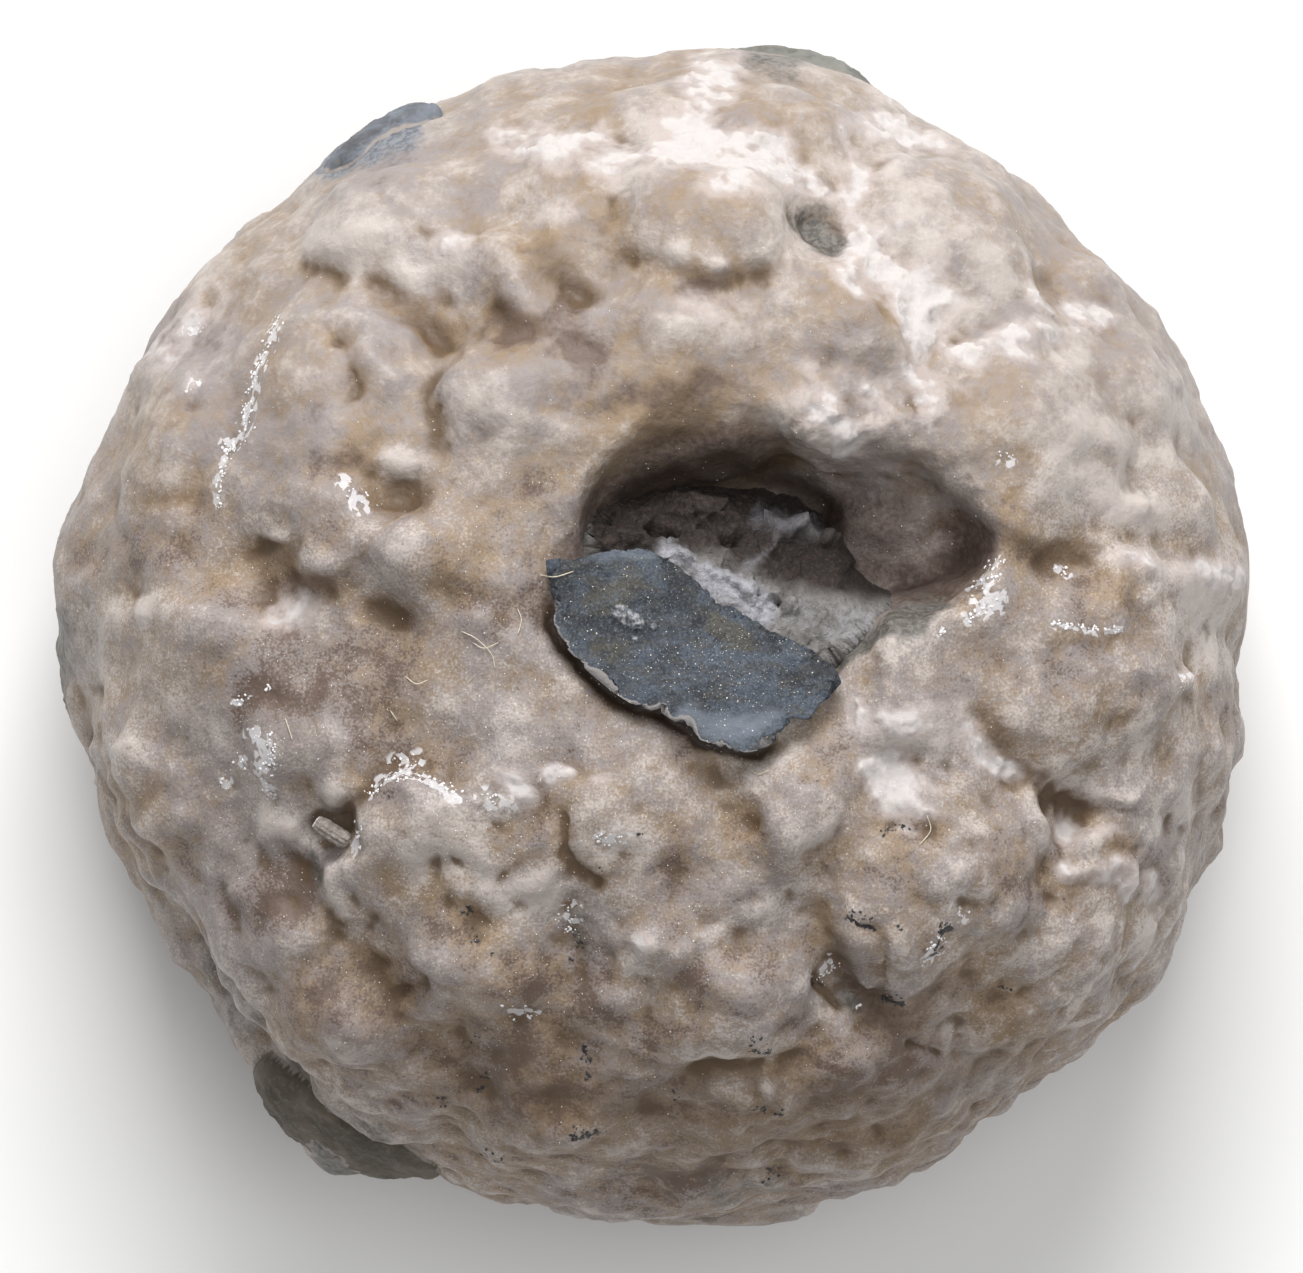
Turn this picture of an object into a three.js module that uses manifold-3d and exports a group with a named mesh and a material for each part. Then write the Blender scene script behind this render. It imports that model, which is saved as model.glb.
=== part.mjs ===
// A fossil crinoid calyx, lying with its stem pit up, and the bits of shale still stuck to it.
//
// Millimetres. Seen from above, +X is to the right and +Y to the back; +Z is up. The origin is on the
// resting surface, under the middle of the whole fossil.
//
// The calyx is one lump of calcite: a low dome of swollen plates, widest a third of the way up, with a
// steep-sided oval pit behind and to the right of its crown, where the stem was, and a worn flat face
// under it. Crumbly matrix lies in the pit, a thin flake of shale bridges the pit's front, a bit of a
// broken spine lies in a crevice at the front left, and four skins of shale cling below the rim.

import * as THREE from "three";
import { mergeVertices } from "three/addons/utils/BufferGeometryUtils.js";
import Module from "manifold-3d";

const wasm = await Module();
wasm.setup();

// ---- Driving dimensions -------------------------------------------------------------------------

const CROWN_HEIGHT = 18.6; // the dome's top, before its plates swell it
const RIM_HEIGHT = 7.4; // the level of the widest outline
const DOME_POWER = 2.25; // how soon the dome falls away from its crown
const DOME_ROUNDNESS = 0.52;
const UNDER_DEPTH = 8.1; // the underside would reach this far below the rim, but is worn flat
const UNDER_POWER = 2.6;
const UNDER_ROUNDNESS = 0.5;
const PIT_CENTRE = [3.3, 2.1];
const PIT_DEPTH = 4.8;

const GAP = 0.3; // between two pieces that touch
const SPHERE_DETAIL = 18; // an icosahedron's edges cut into this many and one more
const RIM_POLAR = 110; // degrees from the pole of the guide sphere at which the outline lies
const LIP_SHARE = 0.42; // share of the guide sphere's radius at which the pit's lip lies
const FLOOR_SHARE = 0.2; // and the edge of its floor
const RIM_CALM = 2.2; // within this height of the rim its outline is kept free of swellings

// The calyx's outline from above: [x, y], anticlockwise from the right.
const OUTLINE = [
  [16.0, 1.4], [15.7, 3.0], [15.4, 4.2], [15.0, 5.0], [14.6, 6.3], [14.0, 7.6], [13.0, 9.0],
  [12.1, 10.0], [11.0, 10.9], [10.0, 12.05], [9.0, 12.8], [8.0, 13.4], [6.6, 14.05], [5.1, 15.0],
  [4.2, 15.35], [3.0, 15.55], [1.4, 15.7], [0.0, 15.6], [-2.4, 15.4], [-4.0, 15.05], [-5.2, 14.6],
  [-6.5, 13.8], [-7.6, 13.2], [-8.8, 12.4], [-9.8, 11.75], [-10.9, 11.1], [-12.0, 10.0],
  [-12.7, 9.1], [-13.4, 8.2], [-14.1, 7.1], [-14.7, 6.1], [-15.1, 5.0], [-15.7, 3.2], [-16.0, 1.4],
  [-15.7, 0.2], [-15.7, -1.2], [-15.7, -2.4], [-15.25, -3.3], [-15.25, -4.2], [-14.95, -5.3],
  [-14.5, -6.4], [-13.9, -7.1], [-13.3, -7.8], [-12.9, -8.9], [-12.2, -9.6], [-11.4, -10.9],
  [-10.6, -12.0], [-9.5, -13.0], [-8.0, -13.8], [-6.4, -14.2], [-5.0, -14.85], [-4.2, -15.3],
  [-1.5, -15.7], [1.0, -15.75], [3.0, -15.6], [5.0, -15.1], [7.0, -14.3], [8.5, -13.4],
  [10.0, -12.3], [10.9, -11.6], [12.0, -11.0], [12.8, -10.2], [13.2, -9.4], [14.0, -8.3],
  [14.6, -6.8], [14.75, -6.0], [15.1, -5.2], [15.5, -3.8], [15.8, -2.2], [15.6, -1.0], [15.65, 0.2],
];

// The pit's lip, where the dome begins to roll over into it, and the edge of its floor, in the same way.
const PIT_LIP = [
  [9.3, 2.6], [8.9, 3.6], [7.9, 4.6], [6.5, 5.4], [5.2, 5.7], [4.3, 5.5], [3.3, 6.1], [2.0, 6.4],
  [0.6, 6.2], [-0.8, 5.4], [-1.9, 4.1], [-2.6, 2.6], [-2.4, 0.9], [-1.4, -0.5], [0.2, -1.6],
  [2.0, -2.3], [3.8, -2.2], [5.3, -1.2], [6.7, 0.1], [7.8, 1.0], [8.7, 1.6],
];
const PIT_FLOOR = [
  [6.1, 2.2], [5.8, 2.9], [5.2, 3.4], [4.3, 3.4], [3.4, 3.9], [2.2, 4.3], [0.9, 4.3], [-0.1, 3.8],
  [-0.8, 2.8], [-0.6, 1.7], [0.2, 0.9], [1.4, 0.3], [2.8, 0.1], [4.2, 0.4], [5.3, 1.0], [5.9, 1.6],
];

const SWELL = 1.4; // stretches all the heights below

// The swollen plates of the dome: [x, y, radius, height], with hollows as negative heights.
const PLATES = [
  // left of the pit
  [-9.2, 7.0, 2.9, 0.55], [-7.4, 11.0, 2.5, 0.7], [-3.9, 9.7, 1.7, 0.5], [-4.2, 6.6, 2.0, 0.55],
  [-9.0, 3.3, 2.3, 0.6], [-6.2, 2.3, 1.8, 0.6], [-4.2, 0.4, 1.6, 0.35], [-12.9, 5.4, 2.3, 0.4],
  [-12.4, 9.0, 1.9, 0.35], [-13.6, 2.4, 1.9, 0.3], [-12.2, -0.4, 2.6, 0.5], [-7.3, 5.4, 1.2, 0.3],
  [-6.8, 3.9, 0.9, -0.4], [-10.2, 1.4, 1.6, -0.4], [-5.4, 8.9, 1.3, -0.5], [-7.2, 0.6, 1.1, -0.4],
  // behind the pit
  [1.3, 11.4, 2.7, 0.7], [0.6, 8.3, 2.2, 0.4], [4.9, 8.7, 2.0, 0.4], [-2.2, 12.3, 1.7, 0.4],
  [8.0, 11.2, 2.6, 0.5], [9.4, 9.1, 1.6, 0.35], [-2.3, 9.5, 1.2, -0.45], [4.3, 10.9, 1.1, -0.5],
  [3.4, 14.0, 1.8, 0.3], [-0.2, 14.1, 1.6, 0.3],
  // right of the pit
  [10.5, 5.6, 2.9, 0.6], [13.2, 6.9, 2.1, 0.45], [11.6, 9.7, 1.8, 0.4], [14.1, 3.6, 1.5, 0.35],
  [12.1, -0.9, 3.0, 0.5], [6.3, -1.3, 1.8, 0.35], [11.0, 2.2, 1.6, -0.4], [13.9, -4.0, 1.7, 0.3],
  // in front
  [-9.4, -2.9, 2.2, 0.35], [-6.1, -5.4, 2.5, 0.65], [-1.3, -4.9, 2.0, 0.45], [3.6, -5.0, 2.1, 0.5],
  [7.4, -6.6, 3.1, 0.8], [11.6, -7.6, 2.3, 0.5], [-9.8, -7.9, 1.8, 0.45], [-13.6, -4.2, 1.7, 0.35],
  [-5.1, -8.9, 1.9, 0.4], [-0.4, -8.3, 1.5, 0.3], [2.1, -9.7, 2.1, 0.5], [-8.2, -10.4, 1.8, 0.4],
  [5.2, -11.3, 1.6, 0.35], [-12.2, -8.0, 1.3, 0.3], [9.8, -10.1, 1.7, 0.35], [-2.2, -12.7, 1.9, 0.3],
  [11.2, -4.9, 1.2, -0.6], [5.3, -9.4, 1.2, -0.5], [-8.8, -5.2, 1.0, -0.6], [-2.0, -8.3, 1.2, -0.3],
  [2.4, -12.6, 1.8, 0.3], [-5.6, -12.5, 1.6, 0.3], [1.9, -4.2, 1.2, -0.3], [-2.7, -6.7, 1.0, -0.35],
];

// Rows of plates round the side and the underside: level of the row on the guide sphere in degrees
// from its pole, how many, their radius and height, and how far round the row starts.
const PLATE_ROWS = [
  { polar: 124, count: 17, radius: 2.6, height: 0.6, start: 6 },
  { polar: 139, count: 13, radius: 2.7, height: 0.6, start: 20 },
  { polar: 153, count: 8, radius: 2.6, height: 0.45, start: 2 },
];

// The step under the rim at the front left, where the dome stands back from the plates below it.
const RIM_GROOVE = { level: 8.6, halfHeight: 1.5, depth: 0.7, from: 178, to: 252, fade: 12 };

// The shale flake: its outline from above, anticlockwise from its left tip.
const FLAKE_THICKNESS = 0.34;
const FLAKE_LEVEL = 18.2; // of its underside, at its middle
const FLAKE_MIDDLE = [1.0, -0.35];
const FLAKE_SLOPE = [-0.1, -0.16]; // rise to the right and to the back: it dips into the pit
const FLAKE_BED = { half: 4.6, width: 3.0, heading: -32, fade: 1.3 }; // the worn ground under it
const FLAKE = [
  [-2.95, 2.0], [-2.9, 1.35], [-2.7, 0.8], [-2.75, 0.3], [-2.4, -0.35], [-1.85, -0.95],
  [-1.2, -1.5], [-0.5, -1.95], [0.1, -2.05], [0.45, -2.3], [0.95, -2.5], [1.15, -2.8], [1.6, -2.95],
  [2.15, -3.15], [2.75, -3.1], [3.15, -2.85], [3.35, -2.55], [3.7, -2.3], [4.1, -2.25],
  [4.35, -1.85], [4.75, -1.65], [5.05, -1.3], [4.9, -0.85], [4.3, -0.4], [3.2, 0.15], [2.2, 0.8],
  [1.35, 1.35], [0.5, 2.0], [-0.3, 2.4], [-1.1, 2.45], [-1.7, 2.2], [-2.2, 2.0], [-2.6, 2.05],
];

// The crumbly matrix: its middle and half sizes from above, the level of its top at its middle, how
// that falls to the right and to the back, and the thickness of its rough top layer.
const MATRIX = {
  x: 2.3, y: 2.0, halfLength: 4.3, halfWidth: 3.3,
  top: 16.7, fallRight: 0.2, fallBack: 0.45, thick: 1.2, crumb: 0.16,
};

const ROD = { x: -8.65, y: -5.25, radius: 0.24, length: 1.15, heading: -32 };

// The shale skins below the rim: where each is round the calyx, its level on the guide sphere, its
// half sizes in degrees round and along the sphere, and its thickness.
const SKINS = [
  { name: "shale_skin_back_left", azimuth: 119, polar: 103, halfRound: 8, halfAlong: 8, thick: 0.6 },
  { name: "shale_skin_front_left", azimuth: 238, polar: 111, halfRound: 12, halfAlong: 9, thick: 0.8 },
  { name: "shale_skin_back", azimuth: 75, polar: 112, halfRound: 9, halfAlong: 6, thick: 0.5 },
  { name: "shale_skin_left", azimuth: 183, polar: 113, halfRound: 6, halfAlong: 7, thick: 0.5 },
];

const COLOURS = { calcite: 0xa08874, matrix: 0xa39a8e, shale: 0x4f565b, spine: 0x8d8378 };

// ---- Small helpers --------------------------------------------------------------------------------

const radians = THREE.MathUtils.degToRad;
const { clamp, lerp, smoothstep } = THREE.MathUtils;

function polarPoint(azimuth, radius) {
  return new THREE.Vector2(Math.cos(azimuth), Math.sin(azimuth)).multiplyScalar(radius);
}

// A direction on the guide sphere, from degrees round it and from its upper pole.
function guideDirection(azimuth, polar) {
  return new THREE.Vector3().setFromSphericalCoords(1, radians(polar), radians(azimuth) + Math.PI / 2)
    .applyAxisAngle(new THREE.Vector3(1, 0, 0), Math.PI / 2);
}

// A closed smooth curve through points round a centre, as its radius at any azimuth.
function roundCurve(points, [x, y]) {
  const closed = [...points, points[0]];
  const curve = new THREE.SplineCurve(closed.map((p) => new THREE.Vector2(p[0] - x, p[1] - y)));
  const samples = curve.getPoints(points.length * 16);
  const radii = Array.from({ length: 360 }, (_, degree) => {
    const ray = polarPoint(radians(degree), 1);
    return samples.reduce((a, b) => (b.dot(ray) / b.length() > a.dot(ray) / a.length() ? b : a)).length();
  });
  return (azimuth) => {
    const degrees = THREE.MathUtils.euclideanModulo(THREE.MathUtils.radToDeg(azimuth), 360);
    const low = Math.floor(degrees) % 360;
    return lerp(radii[low], radii[(low + 1) % 360], degrees - Math.floor(degrees));
  };
}

const outlineRadius = roundCurve(OUTLINE, [0, 0]);
const lipRadius = roundCurve(PIT_LIP, PIT_CENTRE);
const floorRadius = roundCurve(PIT_FLOOR, PIT_CENTRE);

// ---- The calyx's surface --------------------------------------------------------------------------

function pitPoint(azimuth, radius) {
  return polarPoint(azimuth, radius).add(new THREE.Vector2(...PIT_CENTRE));
}

function domeHeight(plan) {
  const share = clamp(plan.length() / outlineRadius(plan.angle()), 0, 1);
  const rise = (1 - share ** DOME_POWER) ** DOME_ROUNDNESS;
  return lerp(RIM_HEIGHT, CROWN_HEIGHT, rise);
}

// The point of the bare calyx, without its plates, for a direction on the guide sphere.
function basePoint(direction) {
  const azimuth = Math.atan2(direction.y, direction.x);
  const polar = THREE.MathUtils.radToDeg(Math.acos(clamp(direction.z, -1, 1)));
  const outside = polarPoint(azimuth, outlineRadius(azimuth));
  if (polar > RIM_POLAR) {
    const under = Math.cos(radians((90 * (polar - RIM_POLAR)) / (180 - RIM_POLAR)));
    const depth = UNDER_DEPTH * (1 - under ** UNDER_POWER) ** UNDER_ROUNDNESS;
    const plan = outside.multiplyScalar(under);
    return new THREE.Vector3(plan.x, plan.y, RIM_HEIGHT - depth);
  }
  const reach = Math.sin(radians((90 * polar) / RIM_POLAR));
  const lip = lipRadius(azimuth);
  const floor = floorRadius(azimuth);
  if (reach < LIP_SHARE) {
    const wall = clamp((reach - FLOOR_SHARE) / (LIP_SHARE - FLOOR_SHARE), 0, 1);
    const radius = reach < FLOOR_SHARE ? (floor * reach) / FLOOR_SHARE : lerp(floor, lip, wall);
    const plan = pitPoint(azimuth, radius);
    return new THREE.Vector3(plan.x, plan.y, domeHeight(plan) - PIT_DEPTH * (1 - smoothstep(wall, 0, 1)));
  }
  const plan = pitPoint(azimuth, lip).lerp(outside, (reach - LIP_SHARE) / (1 - LIP_SHARE));
  return new THREE.Vector3(plan.x, plan.y, domeHeight(plan));
}

function baseNormal(direction) {
  const step = 0.01;
  const across = new THREE.Vector3(0.3, -0.8, 0.52).cross(direction).normalize();
  const along = direction.clone().cross(across);
  const moved = (way, sign) => basePoint(direction.clone().addScaledVector(way, sign * step).normalize());
  const a = moved(across, 1).sub(moved(across, -1));
  const b = moved(along, 1).sub(moved(along, -1));
  return a.cross(b).normalize();
}

const SWELLINGS = [
  ...PLATES.map(([x, y, radius, height]) => ({
    centre: new THREE.Vector3(x, y, domeHeight(new THREE.Vector2(x, y))), radius, height,
  })),
  ...PLATE_ROWS.flatMap(({ polar, count, radius, height, start }) =>
    Array.from({ length: count }, (_, i) => {
      const wander = Math.sin(i * 2.4 + polar); // breaks the row's evenness
      const azimuth = start + (360 * i) / count + 5 * wander;
      return {
        centre: basePoint(guideDirection(azimuth, polar + 4 * wander)),
        radius: radius * (1 + 0.15 * wander),
        height: height * (1 - 0.3 * wander),
      };
    })),
];

function swelling(point, { centre, radius, height }) {
  const share = point.distanceTo(centre) / radius;
  return share < 1 ? height * (1 - share ** 2.2) : 0;
}

function rimGroove(point) {
  const { level, halfHeight, depth, from, to, fade } = RIM_GROOVE;
  const azimuth = THREE.MathUtils.euclideanModulo(
    THREE.MathUtils.radToDeg(Math.atan2(point.y, point.x)), 360);
  const inside = smoothstep(azimuth, from, from + fade) * (1 - smoothstep(azimuth, to - fade, to));
  const across = (point.z - level) / halfHeight;
  return depth * inside * Math.exp(-across * across);
}

function flakeUnderside(x, y) {
  return FLAKE_LEVEL + FLAKE_SLOPE[0] * (x - FLAKE_MIDDLE[0]) + FLAKE_SLOPE[1] * (y - FLAKE_MIDDLE[1]);
}

// The surface is worn down to the flake's underside where the flake lies on it.
function bedded(point) {
  const { half, width, heading, fade } = FLAKE_BED;
  const plan = new THREE.Vector2(point.x, point.y)
    .rotateAround(new THREE.Vector2(...FLAKE_MIDDLE), radians(-heading))
    .sub(new THREE.Vector2(...FLAKE_MIDDLE));
  const worn = 1 - smoothstep(Math.hypot(plan.x / half, plan.y / width), 1, fade);
  const bed = flakeUnderside(point.x, point.y) - GAP;
  return point.z > bed ? lerp(point.z, bed, worn) : point.z;
}

// The finished surface for a guide direction, moved out by an extra distance.
function surfacePoint(direction, out = 0) {
  const base = basePoint(direction);
  const swollen = SWELLINGS.reduce((sum, one) => sum + swelling(base, one), 0);
  const calm = 1 - Math.exp(-(((base.z - RIM_HEIGHT) / RIM_CALM) ** 2));
  const relief = SWELL * swollen * calm - rimGroove(base);
  const point = base.clone().addScaledVector(baseNormal(direction), relief + out);
  point.z = bedded(point);
  if (point.z < -out) point.z = -out; // worn flat where it rests
  return point;
}

// ---- Geometry ----------------------------------------------------------------------------------------

// A closed geometry whose vertices are where a function puts those of another.
function reshaped(geometry, place) {
  geometry.deleteAttribute("normal");
  geometry.deleteAttribute("uv");
  const made = mergeVertices(geometry, 1e-4);
  const position = made.attributes.position;
  for (let i = 0; i < position.count; i++) {
    const point = place(new THREE.Vector3().fromBufferAttribute(position, i));
    position.setXYZ(i, point.x, point.y, point.z);
  }
  made.computeVertexNormals();
  return made;
}

function calyxGeometry(out = 0) {
  return reshaped(new THREE.IcosahedronGeometry(1, SPHERE_DETAIL), (v) => surfacePoint(v.normalize(), out));
}

function solidOf(geometry) {
  return new wasm.Manifold(new wasm.Mesh({
    numProp: 3,
    vertProperties: new Float32Array(geometry.attributes.position.array),
    triVerts: new Uint32Array(geometry.index.array),
  }));
}

function geometryOf(solid) {
  const { vertProperties, triVerts } = solid.getMesh();
  const geometry = new THREE.BufferGeometry();
  geometry.setAttribute("position", new THREE.BufferAttribute(new Float32Array(vertProperties), 3));
  geometry.setIndex(new THREE.BufferAttribute(new Uint32Array(triVerts), 1));
  geometry.computeVertexNormals();
  return geometry;
}

// Crumbly matrix on the pit's floor: high at the front left, under the flake, and low at the back
// right. It is a rough pillow, less everything within a gap of the calyx.
function matrixGeometry() {
  const { x, y, halfLength, halfWidth, top, fallRight, fallBack, thick, crumb } = MATRIX;
  const pillow = reshaped(new THREE.IcosahedronGeometry(1, 7), (v) => {
    const plan = new THREE.Vector2(x + halfLength * v.x, y + halfWidth * v.y);
    const fall = fallRight * (plan.x - x) + fallBack * (plan.y - y);
    const crumbs = crumb * Math.sin(4 * plan.x + plan.y) * Math.cos(4 * plan.y - plan.x);
    const level = Math.min(top - fall + crumbs, flakeUnderside(plan.x, plan.y) - GAP);
    const height = v.z > 0 ? lerp(level - thick, level, v.z ** 0.4) : level - thick + 4 * v.z;
    return new THREE.Vector3(plan.x, plan.y, height);
  });
  return geometryOf(solidOf(pillow).subtract(solidOf(calyxGeometry(GAP))));
}

// The flake is flat, with its front left edge up and its back right edge down.
function flakeGeometry() {
  const shape = new THREE.Shape(FLAKE.map(([x, y]) => new THREE.Vector2(x, y)));
  const plate = new THREE.ExtrudeGeometry(shape, { depth: FLAKE_THICKNESS, bevelEnabled: false, steps: 1 });
  return reshaped(plate, (v) => new THREE.Vector3(v.x, v.y, v.z + flakeUnderside(v.x, v.y)));
}

// A skin of shale that follows the calyx's surface, thickest at its middle.
function skinGeometry({ azimuth, polar, halfRound, halfAlong, thick }) {
  return reshaped(new THREE.IcosahedronGeometry(1, 2), (v) => {
    const turn = Math.atan2(v.y, v.x) + azimuth;
    const edge = 1 + 0.14 * Math.sin(2 * turn) + 0.1 * Math.cos(3 * turn);
    const direction = guideDirection(azimuth + halfRound * edge * v.x, polar - halfAlong * edge * v.y);
    return surfacePoint(direction, GAP + thick * Math.max(v.z, 0) ** 0.8);
  });
}

// ---- The pieces -----------------------------------------------------------------------------------

function piece(name, geometry, colour, roughness) {
  const material = new THREE.MeshStandardMaterial({ color: colour, roughness, metalness: 0 });
  const mesh = new THREE.Mesh(geometry, material);
  mesh.name = name;
  return mesh;
}

const calyx = piece("calyx", calyxGeometry(), COLOURS.calcite, 0.6);

// The height of the calyx's upper surface at a place.
function surfaceHeight(x, y) {
  const down = new THREE.Raycaster(new THREE.Vector3(x, y, 2 * CROWN_HEIGHT), new THREE.Vector3(0, 0, -1));
  return down.intersectObject(calyx)[0].point.z;
}

const matrix = piece("pit_matrix", matrixGeometry(), COLOURS.matrix, 0.95);

const flake = piece("shale_flake", flakeGeometry(), COLOURS.shale, 0.75);

const rod = piece(
  "spine_fragment",
  new THREE.CapsuleGeometry(ROD.radius, ROD.length - 2 * ROD.radius, 3, 10),
  COLOURS.spine, 0.8,
);
rod.rotation.z = radians(ROD.heading) - Math.PI / 2;
rod.position.set(ROD.x, ROD.y, surfaceHeight(ROD.x, ROD.y) + ROD.radius + 2 * GAP);

const skins = SKINS.map((skin) => piece(skin.name, skinGeometry(skin), COLOURS.shale, 0.85));

const fossil = new THREE.Group();
fossil.name = "fossil_crinoid";
fossil.add(calyx, matrix, flake, rod, ...skins);

// Puts the middle of the fossil's footprint over the origin.
const middle = new THREE.Box3().setFromObject(fossil).getCenter(new THREE.Vector3());
fossil.position.set(-middle.x, -middle.y, 0);

export default fossil;
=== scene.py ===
"""The looks of a fossil crinoid calyx, its shale flake and the matrix in its stem pit.

Sizes and places are millimetres. Strokes lie in the plan of the fossil, seen from above: +X to the right and
+Y to the back, from an origin where the calyx's outline is centred.
"""

import functools
import itertools
import math

import bmesh
import bpy
import numpy as np
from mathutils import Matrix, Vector
from mathutils.bvhtree import BVHTree


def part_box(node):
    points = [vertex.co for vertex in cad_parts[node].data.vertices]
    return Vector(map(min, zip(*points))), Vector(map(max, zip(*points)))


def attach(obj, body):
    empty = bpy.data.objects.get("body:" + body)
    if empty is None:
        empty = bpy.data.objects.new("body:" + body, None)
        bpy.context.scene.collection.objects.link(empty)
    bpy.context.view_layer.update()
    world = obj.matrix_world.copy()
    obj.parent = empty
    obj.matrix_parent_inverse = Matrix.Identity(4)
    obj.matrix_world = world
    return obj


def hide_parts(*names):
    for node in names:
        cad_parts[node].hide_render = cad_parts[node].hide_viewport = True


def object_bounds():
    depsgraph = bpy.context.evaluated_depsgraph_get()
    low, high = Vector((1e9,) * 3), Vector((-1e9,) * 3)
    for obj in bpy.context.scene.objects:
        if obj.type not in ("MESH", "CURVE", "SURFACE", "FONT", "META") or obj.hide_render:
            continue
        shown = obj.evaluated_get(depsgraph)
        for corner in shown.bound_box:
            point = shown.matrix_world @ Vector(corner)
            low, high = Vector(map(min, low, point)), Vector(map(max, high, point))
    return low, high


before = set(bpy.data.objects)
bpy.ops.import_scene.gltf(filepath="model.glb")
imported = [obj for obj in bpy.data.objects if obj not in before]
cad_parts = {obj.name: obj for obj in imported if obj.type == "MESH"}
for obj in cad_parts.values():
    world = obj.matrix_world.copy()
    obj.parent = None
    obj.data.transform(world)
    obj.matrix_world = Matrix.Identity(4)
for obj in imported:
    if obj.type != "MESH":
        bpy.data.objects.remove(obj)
cad_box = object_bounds()

MM = 0.001

# ---- Places taken from the frame -----------------------------------------------------------------

FLAKE_MIDDLE = (1.05, -0.35)  # the middle of the flake's box, in the plan
FLAKE_ACROSS = np.array([0.53, 0.85])  # the way across the flake, to the back right


def middle_mm(node):
    """The middle of a CAD node's box."""
    low, high = (np.array(corner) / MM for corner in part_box(node))
    return (low + high) / 2


PLAN_ORIGIN = middle_mm("shale_flake")[:2] - FLAKE_MIDDLE
RIM = 7.4  # the level of the calyx's widest outline

# ---- Strokes: the calyx's relief -----------------------------------------------------------------

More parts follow.
